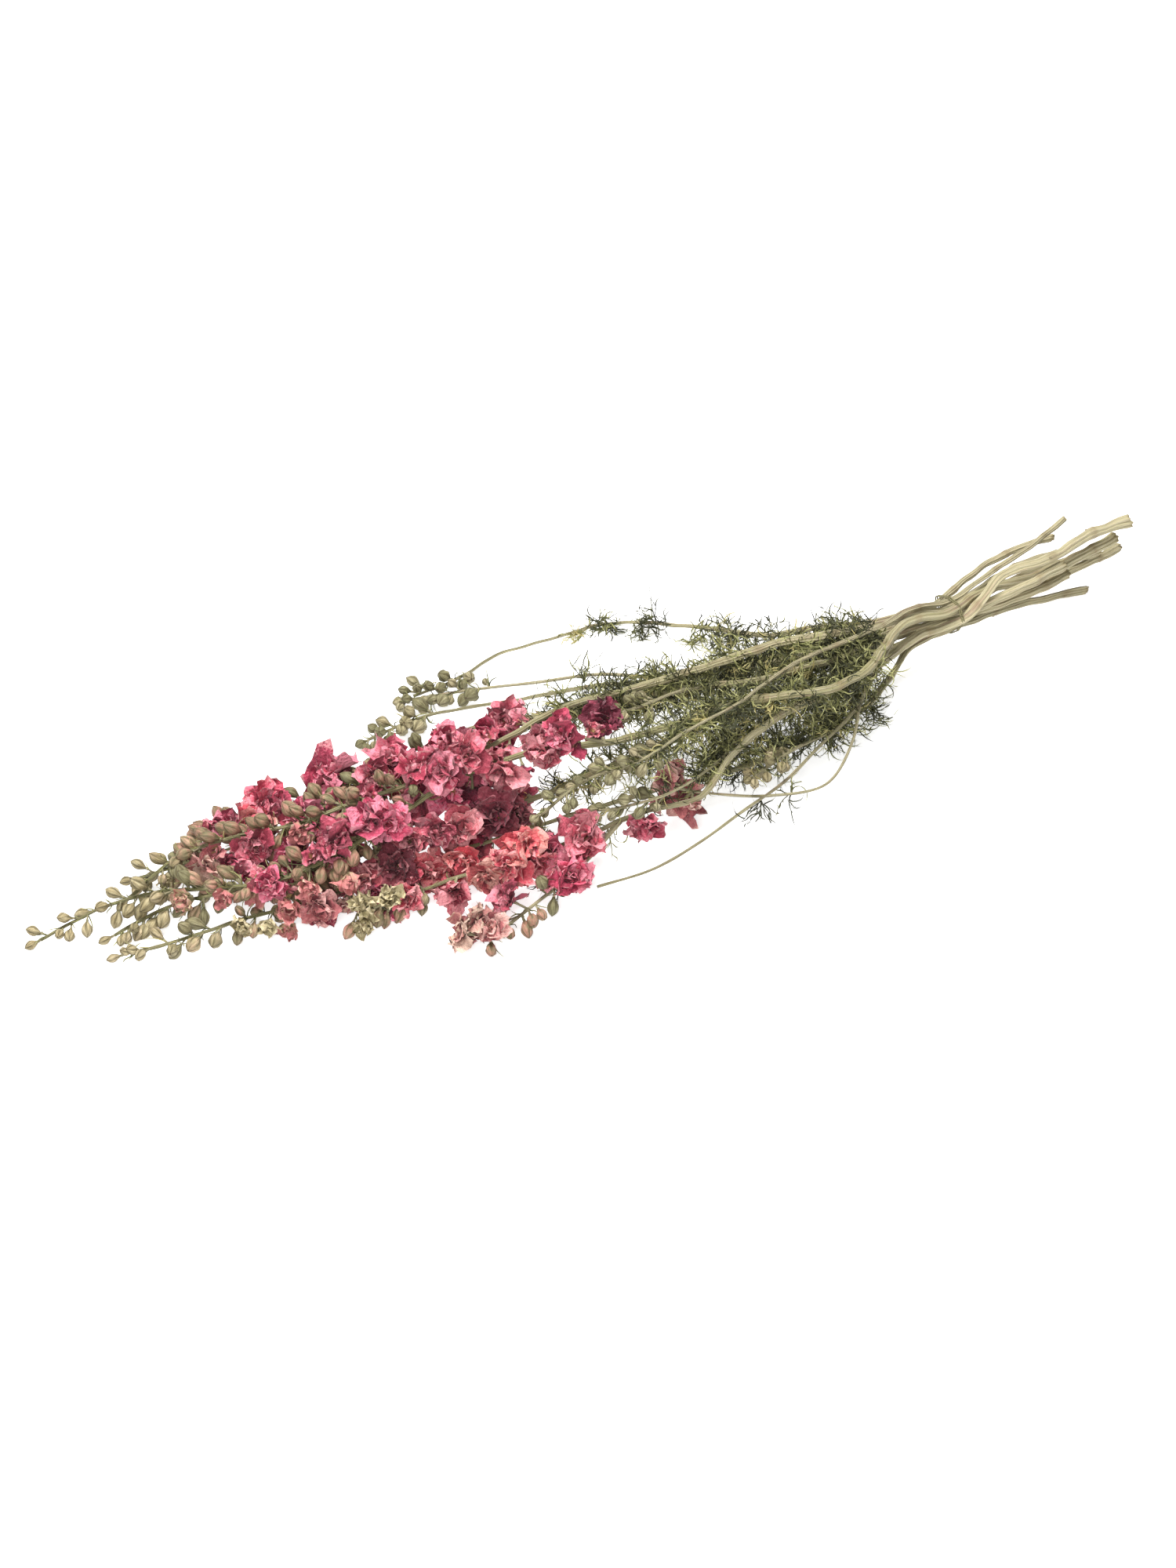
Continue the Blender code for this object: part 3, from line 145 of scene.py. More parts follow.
# Each stem: girth in mm, its place in the neck (across, up) in mm, then its route as picture column, picture
# row and height in mm, first from the cut end to the neck and then on to the tip. What grows on it is given
# as first column, last column and, for buds and fronds, how many.
STEMS = {
    "stem_01": {
        "girth": 5.6,
        "slot": (-4.5, 5.0),
        "cut": [(1420, 687, 26), (1385, 705, 27), (1345, 728, 28), (1300, 743, 28), (1255, 762, 28)],
        "run": [
            (1180, 786, 34), (1150, 798, 41), (1121, 834, 46), (1093, 865, 50), (1044, 882, 54),
            (975, 890, 57), (900, 908, 58), (814, 940, 57), (732, 952, 55), (652, 963, 52),
            (617, 979, 50), (560, 1007, 47), (475, 1062, 40), (400, 1105, 32), (330, 1128, 25),
            (250, 1134, 20), (180, 1141, 15), (125, 1160, 11), (80, 1183, 7), (52, 1199, 5),
        ],
        "blooms": (700, 250),
        "florets": (520, 200),
        "buds": (235, 52, 15),
        "fronds": (1120, 800, 6),
    },
    "stem_02": {
        "girth": 5.0,
        "slot": (3.5, -5.5),
        "cut": [(1361, 733, 20), (1335, 748, 20), (1289, 765, 22), (1250, 775, 23)],
        "run": [
            (1170, 800, 28), (1120, 822, 33), (1050, 845, 38), (960, 868, 42), (870, 880, 44),
            (800, 893, 44), (740, 905, 43), (680, 915, 41), (625, 923, 39), (579, 937, 37),
            (530, 965, 35), (462, 1005, 33), (435, 1017, 32), (390, 1040, 29), (340, 1062, 25),
            (290, 1088, 20), (235, 1100, 15), (200, 1112, 12), (175, 1120, 10),
        ],
        "blooms": (720, 260),
        "florets": (520, 225),
        "buds": (245, 175, 8),
        "fronds": (1110, 740, 6),
    },
    "stem_03": {
        "girth": 5.4,
        "slot": (-1.0, 0.5),
        "cut": [(1353, 722, 30), (1335, 731, 31), (1315, 742, 32), (1277, 753, 32), (1245, 764, 31)],
        "run": [
            (1172, 782, 36), (1120, 798, 42), (1070, 808, 47), (1026, 811, 50), (950, 834, 52),
            (900, 852, 53), (850, 866, 53), (800, 880, 53), (751, 896, 53), (713, 904, 54),
            (675, 921, 55), (645, 945, 55), (600, 965, 54), (560, 985, 53), (500, 1008, 50),
            (452, 1024, 47), (410, 1036, 43), (367, 1055, 38), (337, 1066, 34), (295, 1068, 30),
            (262, 1073, 27), (238, 1080, 25), (225, 1094, 22), (205, 1104, 19), (190, 1120, 15),
            (165, 1145, 11),
        ],
        "blooms": (680, 400),
        "florets": (520, 320),
        "buds": (320, 165, 9),
        "fronds": (1120, 700, 6),
    },
    "stem_04": {
        "girth": 4.0,
        "slot": (6.5, 4.5),
        "cut": [(1342, 685, 34), (1305, 691, 34), (1279, 708, 33), (1238, 733, 31)],
        "run": [
            (1170, 774, 28), (1120, 792, 25), (1060, 799, 21), (1000, 806, 17), (962, 810, 14),
            (899, 801, 9), (858, 798, 7), (825, 794, 3.5), (784, 792, 1), (733, 809, 0.3),
            (662, 825, 0.3), (621, 842, 0.6), (584, 866, 2.2), (564, 876, 3.5), (545, 883, 4), (528, 888, 4),
        ],
        "buds": (605, 528, 8),
        "fronds": (1110, 770, 7),
    },
    "stem_05": {
        "girth": 4.4,
        "slot": (8.0, -1.5),
        "cut": [(1352, 706, 15), (1313, 714, 17), (1285, 730, 19), (1250, 752, 21)],
        "run": [
            (1170, 790, 20), (1110, 806, 19), (1040, 825, 18), (960, 845, 17), (900, 858, 15),
            (847, 868, 13), (790, 870, 11), (713, 883, 9), (665, 892, 8), (617, 899, 6),
            (560, 912, 5), (523, 918, 4), (500, 925, 4), (482, 935, 4), (470, 944, 4),
        ],
        "buds": (560, 470, 10),
        "fronds": (1110, 720, 6),
    },
    "stem_06": {
        "girth": 6.2,
        "slot": (-7.5, 0.5),
        "cut": [(1440, 664, 36), (1391, 681, 38), (1340, 712, 39), (1289, 732, 38), (1250, 750, 36)],
        "run": [
            (1172, 808, 26), (1120, 848, 32), (1060, 880, 38), (1003, 910, 42), (975, 923, 42),
            (950, 944, 40), (924, 977, 34), (912, 1000, 29), (896, 1014, 26), (858, 1029, 25),
            (818, 1036, 25), (780, 1051, 24), (742, 1068, 23), (700, 1086, 21), (650, 1100, 19),
            (600, 1114, 17), (540, 1135, 14), (490, 1150, 11), (455, 1167, 8),
        ],
        "blooms": (860, 500),
        "florets": (560, 455),
        "fronds": (1080, 660, 5),
    },
    "stem_07": {
        "girth": 4.0,
        "slot": (-5.5, -5.0),
        "cut": [(1385, 753, 1.4), (1340, 762, 4.5), (1302, 770, 9), (1264, 783, 14)],
        "run": [
            (1166, 820, 18), (1150, 843, 16), (1122, 882, 14), (1090, 912, 13), (1050, 935, 13),
            (1000, 958, 14), (930, 985, 15), (860, 1000, 16), (790, 1022, 17), (710, 1045, 18),
            (640, 1068, 18), (570, 1090, 17), (520, 1106, 16), (473, 1124, 15), (416, 1142, 13),
            (359, 1163, 11), (318, 1170, 9), (276, 1186, 7), (221, 1201, 5), (180, 1210, 4),
            (158, 1218, 3.5),
        ],
        "blooms": (690, 380),
        "florets": (520, 290),
        "buds": (285, 158, 10),
        "fronds": (1110, 800, 4),
    },
    "stem_08": {
        "girth": 4.8,
        "slot": (-1.0, -9.0),
        "cut": [(1427, 698, 14), (1391, 716, 16), (1345, 735, 17), (1300, 752, 18), (1255, 772, 18)],
        "run": [
            (1172, 812, 18), (1120, 840, 20), (1060, 868, 23), (980, 895, 26), (900, 925, 28),
            (830, 955, 30), (760, 985, 31), (690, 1015, 31), (620, 1040, 29), (560, 1060, 27),
            (500, 1078, 25), (430, 1100, 21), (360, 1120, 17), (300, 1135, 13), (260, 1143, 11),
            (223, 1153, 9), (189, 1171, 7), (162, 1185, 5), (146, 1193, 4),
        ],
        "blooms": (690, 270),
        "florets": (520, 225),
        "buds": (225, 146, 8),
        "fronds": (1120, 700, 6),
    },
    "stem_09": {
        "girth": 4.6,
        "slot": (3.5, 0.0),
        "cut": [(1400, 704, 20), (1360, 716, 22), (1320, 728, 23), (1285, 743, 24), (1248, 760, 25)],
        "run": [
            (1170, 792, 26), (1110, 812, 30), (1040, 832, 31), (960, 852, 30), (880, 868, 28),
            (800, 885, 27), (720, 905, 27), (640, 930, 27), (570, 955, 26), (500, 985, 25),
            (440, 1005, 24), (390, 1020, 22), (350, 1030, 21), (310, 1048, 18), (283, 1062, 16),
            (262, 1070, 14),
        ],
        "blooms": (720, 280),
        "florets": (520, 275),
        "buds": (285, 262, 3),
        "fronds": (1110, 660, 6),
    },
    "stem_10": {
        "girth": 3.4,
        "slot": (1.5, 8.0),
        "cut": [(1358, 661, 44), (1315, 696, 41), (1282, 719, 39), (1245, 741, 37)],
        "run": [
            (1185, 772, 37), (1160, 778, 42), (1137, 792, 47), (1086, 815, 54), (1026, 840, 60),
            (975, 872, 64), (937, 900, 65), (886, 926, 64), (842, 957, 61), (797, 977, 57),
            (760, 990, 53), (726, 1007, 49), (690, 1038, 44),
        ],
        "buds": (850, 690, 13),
        "fronds": (1120, 880, 2),
    },
}

# Side shoots: the stem or shoot that each grows from, the column where it leaves it, and its own route.
SHOOTS = {
    "shoot_01_low": {
        "stem": "stem_01",
        "parent": "stem_01",
        "leaves_at": 1146,
        "girth": 2.2,
        "run": [
            (1147, 829, 36), (1124, 850, 34), (1108, 868, 32), (1098, 890, 29), (1082, 918, 26),
            (1054, 943, 22), (1015, 983, 18), (985, 1010, 15), (938, 1041, 12), (893, 1074, 9),
            (840, 1105, 7), (800, 1122, 5), (762, 1131, 5),
        ],
        "blooms": (800, 762),
        "fronds": (1120, 1085, 1),
    },
    "shoot_01_loop": {
        "stem": "stem_01",
        "parent": "shoot_01_low",
        "leaves_at": 1098,
        "girth": 1.9,
        "run": [
            (1092, 918, 25), (1087, 942, 22), (1083, 966, 18), (1069, 988, 15), (1040, 1006, 13),
            (979, 1015, 14), (925, 1014, 19), (892, 1008, 25), (862, 1000, 30), (845, 1003, 31),
        ],
        "blooms": (930, 845),
        "fronds": (1040, 960, 2),
    },
    "shoot_01_top": {
        "stem": "stem_01",
        "parent": "stem_01",
        "leaves_at": 780,
        "girth": 1.9,
        "run": [(755, 943, 61), (733, 938, 63), (712, 938, 62), (700, 945, 60)],
        "blooms": (780, 700),
    },
    "shoot_02_top": {
        "stem": "stem_02",
        "parent": "stem_02",
        "leaves_at": 900,
        "girth": 2.0,
        "run": [(860, 884, 51), (825, 898, 55), (795, 909, 56), (770, 916, 55)],
        "buds": (840, 785, 6),
        "blooms": (900, 765),
    },
    "shoot_05_twin": {
        "stem": "stem_05",
        "parent": "stem_05",
        "leaves_at": 860,
        "girth": 2.0,
        "run": [
            (830, 862, 15), (799, 862, 15), (761, 860, 13), (723, 864, 11), (680, 871, 9),
            (633, 879, 7), (588, 881, 5), (550, 893, 4), (520, 893, 4),
        ],
        "buds": (625, 520, 7),
    },
    "shoot_06_low": {
        "stem": "stem_06",
        "parent": "stem_06",
        "leaves_at": 800,
        "girth": 2.6,
        "run": [
            (772, 1076, 17), (740, 1106, 13), (704, 1134, 10), (675, 1160, 8), (653, 1182, 7),
            (625, 1198, 6),
        ],
        "blooms": (760, 615),
        "florets": (720, 620),
        "fronds": (740, 700, 1),
    },
    "shoot_07_pale": {
        "stem": "stem_07",
        "parent": "stem_07",
        "leaves_at": 1095,
        "girth": 2.2,
        "run": [(1052, 937, 21), (1016, 954, 24), (985, 974, 24), (962, 990, 23)],
        "buds": (1012, 962, 7),
        "fronds": (1060, 1030, 1),
    },
    "shoot_08_grey": {
        "stem": "stem_08",
        "parent": "stem_08",
        "leaves_at": 965,
        "girth": 2.1,
        "run": [(930, 962, 33), (895, 986, 36), (858, 1012, 38), (803, 1018, 38), (768, 1036, 36)],
        "buds": (850, 768, 7),
        "fronds": (930, 890, 1),
    },
}


def unit(vector):
    return vector / np.linalg.norm(vector)


def normalised(vectors):
    """Each vector of an array over its own length."""
    return vectors / np.maximum(np.linalg.norm(vectors, axis=-1, keepdims=True), 1e-9)


def lengths_along(path):
    """How far along a path each of its points is."""
    return np.concatenate([[0.0], np.cumsum(np.linalg.norm(np.diff(path, axis=0), axis=1))])


def curve_through(knots, fine):
    """Points of the Catmull-Rom curve through the knots, at knot numbers that may fall between them."""
    ends = np.vstack([2 * knots[0] - knots[1], knots, 2 * knots[-1] - knots[-2]])
    at = np.clip(np.floor(fine).astype(int), 0, len(knots) - 2)
    t = (np.asarray(fine) - at)[:, None]
    a, b, c, d = ends[at], ends[at + 1], ends[at + 2], ends[at + 3]
    return 0.5 * (2 * b + (c - a) * t + (2 * a - 5 * b + 4 * c - d) * t**2 + (3 * b - a - 3 * c + d) * t**3)


def smooth_route(points, columns):
    """Points along a smooth curve through the route, KNOT_STEP apart, and the picture column at each."""
    data = np.column_stack([np.asarray(points, float), columns])
    dense = np.vstack([curve_through(data, np.arange(0.0, len(data) - 1, ROUTE_STEP)), data[-1:]])
    along = lengths_along(dense[:, :3])
    even = np.linspace(0.0, along[-1], max(4, round(along[-1] / KNOT_STEP) + 1))
    return np.column_stack([np.interp(even, along, dense[:, k]) for k in range(4)])


def stem_radii(count, girth):
    """Radius at each knot: the stem thins slowly along its leaves, then faster through its flowers."""
    share = np.linspace(0.0, 1.0, count)
    return np.maximum(TIP_RADIUS, girth * MM / 2 * np.interp(share, [0, 0.3, 0.7, 1], [1, 0.84, 0.5, 0.22]))


class Axis:
    """A stem or side shoot: straight lengths between knots, and the samples that its flowers grow from."""

    def __init__(self, name, stem, knots, radii, plan):
        self.name, self.stem, self.plan = name, stem, plan
        self.knots, self.knot_radii = knots[:, :3], radii
        marks = np.arange(len(knots))
        fine = np.linspace(0, len(knots) - 1, (len(knots) - 1) * SAMPLES_A_KNOT + 1)
        self.columns = np.interp(fine, marks, knots[:, 3])
        self.radii = np.interp(fine, marks, radii)
        self.fine, self.marks = fine, marks
        self.settle()

    def settle(self):
        """Works the samples out again after the knots have moved."""
        self.line = np.column_stack([np.interp(self.fine, self.marks, self.knots[:, k]) for k in range(3)])

    def at(self, column):
        """The first sample that is as far left in the picture as a column."""
        above = np.flatnonzero(self.columns <= max(column, self.columns.min()) + 1e-6)
        return above[0] if len(above) else len(self.columns) - 1

    def stretch(self, columns):
        """The first and the last sample between two picture columns, and the length between them."""
        first, last = sorted(self.at(column) for column in columns)
        return first, last, (last - first) * KNOT_STEP / SAMPLES_A_KNOT

    def direction(self, index):
        low, high = max(0, index - 2), min(len(self.line) - 1, index + 2)
        return unit(self.line[high] - self.line[low])


def push_apart(moving, still, rounds):
    """Moves axes that cross clear of each other and of the table, a little at a time, by their knots."""
    reach = SAMPLES_A_KNOT
    for _ in range(rounds):
        everyone = moving + still
        lines = np.vstack([axis.line for axis in everyone])
        radii = np.concatenate([axis.radii for axis in everyone])
        owner = np.concatenate([[axis.stem] * len(axis.line) for axis in everyone])
        for axis in moving:
            away = axis.line[:, None, :] - lines[None, :, :]
            distance = np.linalg.norm(away, axis=2) + 1e-9
            short = axis.radii[:, None] + radii[None, :] + STEM_GAP - distance
            short[:, owner == axis.stem] = 0.0
            short = np.maximum(short, 0.0)
            rows, worst = np.arange(len(axis.line)), short.argmax(axis=1)
            push = away[rows, worst] / distance[rows, worst][:, None] * short[rows, worst][:, None]
            push[:, 2] += np.maximum(0.0, axis.radii - SINK - axis.line[:, 2])
            size = np.linalg.norm(push, axis=1)
            first = 1 if axis.name in SHOOTS else 0
            for knot in range(first, len(axis.knots)):
                near = np.arange(max(0, (knot - 1) * reach), min(len(size), (knot + 1) * reach + 1))
                pull = 1.0 - np.abs(near - knot * reach) / (reach + 1)
                best = near[(pull * size[near]).argmax()]
                axis.knots[knot] += NUDGE * push[best] * (1.0 - abs(best - knot * reach) / (reach + 1))
            axis.settle()


def lay_stems():
    """Every stem and side shoot as an Axis, settled clear of the others."""
    neck = spot(*NECK_SPOT)
    axes = {}
    for name, plan in STEMS.items():
        route = plan["cut"] + [None] + plan["run"]
        across, up = plan["slot"]
        held = neck + np.array([0.0, across, up]) * MM
        points = [held if point is None else spot(*point) for point in route]
        columns = [NECK_SPOT[0] if point is None else point[0] for point in route]
        knots = smooth_route(points, columns)
        axes[name] = Axis(name, name, knots, stem_radii(len(knots), plan["girth"]), plan)
    push_apart(list(axes.values()), [], STEM_ROUNDS)
    for name, plan in SHOOTS.items():
        parent = axes[plan["parent"]]
        root = parent.line[parent.at(plan["leaves_at"])]
        points = [root] + [spot(*point) for point in plan["run"]]
        columns = [plan["leaves_at"]] + [point[0] for point in plan["run"]]
        knots = smooth_route(points, columns)
        radii = np.maximum(TIP_RADIUS, np.linspace(plan["girth"], plan["girth"] * 0.5, len(knots)) * MM / 2)
        axes[name] = Axis(name, plan["stem"], knots, radii, plan)
    push_apart([axes[name] for name in SHOOTS], [axes[name] for name in STEMS], SHOOT_ROUNDS)
    return axes


def rings_along(paths, radii, turns):
    """Rings round paths: at each path point, out by the radius along two unit vectors square to the path,
    one times the cosine and one times the sine of each angle. Paths are (copies, rings, 3)."""
    ahead = normalised(np.gradient(paths, axis=1))
    chord = np.abs(paths[:, -1] - paths[:, 0])
    square = np.eye(3)[chord.argmin(axis=1)][:, None]
    first = normalised(np.cross(ahead, square))
    second = np.cross(ahead, first)
    out = first[:, :, None] * np.cos(turns)[:, None] + second[:, :, None] * np.sin(turns)[:, None]
    return paths[:, :, None] + out * radii[..., None]


def net(rows, columns, copies=1, closed=True):
    """Four-cornered faces of a net of rows by columns points, joined round if closed, for each copy."""
    across = columns if closed else columns - 1
    row, column = np.meshgrid(np.arange(rows - 1), np.arange(across), indexing="ij")
    here, there = row * columns + column, row * columns + (column + 1) % columns
    one = np.stack([here, there, there + columns, here + columns], axis=-1).reshape(-1, 4)
    return (one + (np.arange(copies) * rows * columns)[:, None, None]).reshape(-1, 4)


def caps(rows, sides, copies=1):
    """The faces that close the first and the last ring of each copy."""
    one = np.array([np.arange(sides)[::-1], (rows - 1) * sides + np.arange(sides)])
    return (one + (np.arange(copies) * rows * sides)[:, None, None]).reshape(-1, sides)


class Part:
    """Points with their faces, and the numbers at them that the material reads."""

    def __init__(self, points, faces, **numbers):
        self.points, self.faces = points.reshape(-1, 3), faces
        shape = points.shape[:-1]
        self.numbers = {name: np.broadcast_to(value, shape).ravel() for name, value in numbers.items()}


def tubes(points, **numbers):
    """Closed tubes as one part: rings of points by sides, of one tube or of several copies."""
    rings, sides = points.shape[-3:-1]
    copies = points.size // (rings * sides * 3)
    return Part(points, [net(rings, sides, copies), caps(rings, sides, copies)], **numbers)


def raise_to(points, height):
    """Lifts the points that lie lower than a height above the table."""
    points[..., 2] = np.maximum(points[..., 2], height)


def new_piece(name, parts, material, node=None):
    """One smooth mesh object from parts, riding on the bunch, in place of a node if one is named."""
    starts = np.cumsum([0] + [len(part.points) for part in parts])
    faces = []
    for part, start in zip(parts, starts):
        for block in part.faces:
            faces += (block + start).tolist()
    mesh = bpy.data.meshes.new(name)
    mesh.from_pydata(np.vstack([part.points for part in parts]).tolist(), [], faces)
    for key in parts[0].numbers:
        layer = mesh.attributes.new(key, "FLOAT", "POINT")
        values = np.concatenate([part.numbers[key] for part in parts])
        layer.data.foreach_set("value", values.astype(np.float32))
    mesh.materials.append(material)
    mesh.shade_smooth()
    piece = shown(name, mesh)
    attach(piece, "root")
    if node:
        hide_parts(node)


class Socket:
    """An output of a material's node. Arithmetic on it, with numbers or other outputs, adds Math nodes."""

    def __init__(self, tree, output):
        self.tree, self.output = tree, output

    def node(self, kind, settings, values, output=0):
        """Any node, by its type, its settings, and what fills or feeds its sockets."""
        made = self.tree.nodes.new("ShaderNode" + kind)
        for name, value in settings.items():
            setattr(made, name, value)
        for key, value in values.items():
            if isinstance(value, Socket):
                self.tree.links.new(value.output, made.inputs[key])
            else:
                made.inputs[key].default_value = value
        return Socket(self.tree, made.outputs[output])

    def maths(self, operation, *others):
        return self.node("Math", {"operation": operation}, dict(enumerate((self, *others))))

    def __add__(self, other):
        return self.maths("ADD", other)

    def __mul__(self, other):
        return self.maths("MULTIPLY", other)

    def __sub__(self, other):
        return self.maths("SUBTRACT", other)

    def __rsub__(self, other):
        return self.maths("MULTIPLY_ADD", -1.0, other)

    def __pow__(self, other):
        return self.maths("POWER", other)

    __radd__ = __add__
    __rmul__ = __mul__

    def step(self, low, high):
        """Rises smoothly from 0 at low to 1 at high."""
        return self.node("MapRange", {"interpolation_type": "SMOOTHSTEP"}, {0: self, 1: low, 2: high})

    def mix(self, dark, light):
        """The first colour where this is 0, the second where it is 1."""
        return self.node("Mix", {"data_type": "RGBA"}, {0: self, 6: dark, 7: light}, output=2)

    def joined(self, *others):
        """The vector of this and two more numbers."""
        return self.node("CombineXYZ", {}, dict(enumerate((self, *others))))

    def stretched(self, *scale):
        """This vector times three numbers, one for each axis."""
        return self.node("VectorMath", {"operation": "MULTIPLY"}, {0: self, 1: scale})

    def noise(self, scale, detail=3.0):
        """Cloudy noise over this vector, about 0.5."""
        return self.node("TexNoise", {}, {"Vector": self, "Scale": scale, "Detail": detail})


# The studio light is this much stronger than what makes a white sheet look just white.
STUDIO_GAIN = 1.35


def colour(red, green, blue):
    """A colour seen as these 0 to 255 values in the studio light, as the shader's linear numbers: each value
    is raised out of its screen curve, then divided by the light's gain."""
    seen = np.array([red, green, blue]) / 255.0
    plain = np.where(seen <= 0.04045, seen / 12.92, ((seen + 0.055) / 1.055) ** 2.4)
    return (*(plain / STUDIO_GAIN).tolist(), 1.0)


class Finish:
    """A material: attributes and places to start from, and the shader that takes the results."""

    def __init__(self, name, constants):
        self.material = bpy.data.materials.new(name)
        self.material.use_nodes = True
        self.tree = self.material.node_tree
        self.shader = self.tree.nodes["Principled BSDF"]
        for socket, value in constants.items():
            self.shader.inputs[socket].default_value = value

    def number(self, name):
        """A number that the mesh carries at its points."""
        source = self.tree.nodes.new("ShaderNodeAttribute")
        source.attribute_name = name
        return Socket(self.tree, source.outputs["Fac"])

    def place(self):
        """Where the surface is, in metres."""
        return Socket(self.tree, self.tree.nodes.new("ShaderNodeTexCoord").outputs["Object"])

    def feed(self, name, value):
        self.tree.links.new(value.output, self.shader.inputs[name])

    def bump(self, height, depth):
        """Relief of that depth in metres where height is 1."""
        self.feed("Normal", height.node("Bump", {}, {"Height": height, "Distance": depth}))


RINGS_A_KNOT = 11
CANE_SIDES = 32
TWIG_SIDES = 12
# Relief round a stem, as shares of its radius: ribs, three flutes and its flat sides.
RIBS = 8
RIB_HEIGHT = 0.1
FLUTE_DEPTH = 0.06
FLATNESS = 0.09
# Leaf joints: how far apart, how far one may be off its place, half their length, and how much they swell.
# The first is FIRST_JOINT from the cut end, and the last is before this share of the stem.
FIRST_JOINT = (14, 30)
LAST_JOINT = 0.75
JOINT_STEP = 46.0 * MM
JOINT_OFF = 8.0
JOINT_HALF = 2.4 * MM
JOINT_SWELL = 0.2
# The skin's share of the laid-out radius, and the least radius that a dry shoot is seen with.
SKIN = 0.96
THINNEST = 0.82 * MM
# Leaves were stripped off up to this far from the cut end.
LEAFLESS = 150.0 * MM
# How far a stem bends to the side, and the lengths of the waves that its bends are made of.
BEND = 0.5 * MM
BEND_WAVES = (31.0 * MM, 53.0 * MM, 19.0 * MM)
# Its girth varies in two waves: radians to a metre, and depth as a share of the radius.
UNEVEN = ((140.0, 0.05), (330.0, 0.04))
# The rim of a cut end, as shares of the radius: its slant, its five waves and how ragged it is.
RIM_SLANT = 0.5
RIM_WAVES = 0.16
RIM_RAGGED = 0.04
# Rings of the cut end, from the pith out: depth in mm, share of the radius, and share of the rim's slant.
CUT_RINGS = ((1.6, 0.03, 0.2), (0.9, 0.5, 0.6), (0.25, 0.8, 0.9), (0.0, 0.97, 1.0))
PITH_RINGS = 2
# How olive each stem is, from straw to green, and how much its cut end flares, over how long.
OLIVE = {
    "stem_01": 0.7, "stem_02": 0.45, "stem_03": 0.4, "stem_04": 0.35, "stem_05": 0.45,
    "stem_06": 0.15, "stem_07": 0.8, "stem_08": 0.6, "stem_09": 0.35, "stem_10": 0.05,
}
FLARE = {"stem_06": 0.25, "stem_01": 0.15}
USUAL_FLARE = 0.1
FLARE_LENGTH = 9 * MM
# A stub's middle line stays this far above the table.
STUB_HEIGHT = 0.8 * MM


def crooked(path, along, draw):
    """The path with small sideways bends: sines of three lengths, which fade in from the cut end."""
    ahead = normalised(np.gradient(path, axis=0))
    side = normalised(np.cross(ahead, [0.0, 0.0, 1.0]))
    bends = np.zeros((2, len(path)))
    for wave in BEND_WAVES:
        high, phase = draw.uniform(0.2, 0.6, (2, 1)), draw.uniform(0, math.tau, (2, 1))
        bends += high * np.sin(math.tau * along / wave + phase)
    across, up = bends * BEND * np.interp(along, [0.0, along[-1]], [1.0, 0.7])
    return path + side * across[:, None] + np.cross(side, ahead) * (0.6 * up[:, None])


def cane_part(points, turns, along, olive, joint=0.0, cut=0.0, pith=0.0, rib=0.0):
    """Tubes with the numbers that the cane's material reads."""
    return tubes(
        points, around_x=np.cos(turns), around_y=np.sin(turns), along=along, olive=olive, joint=joint,
        cut=cut, pith=pith, rib=rib,
    )


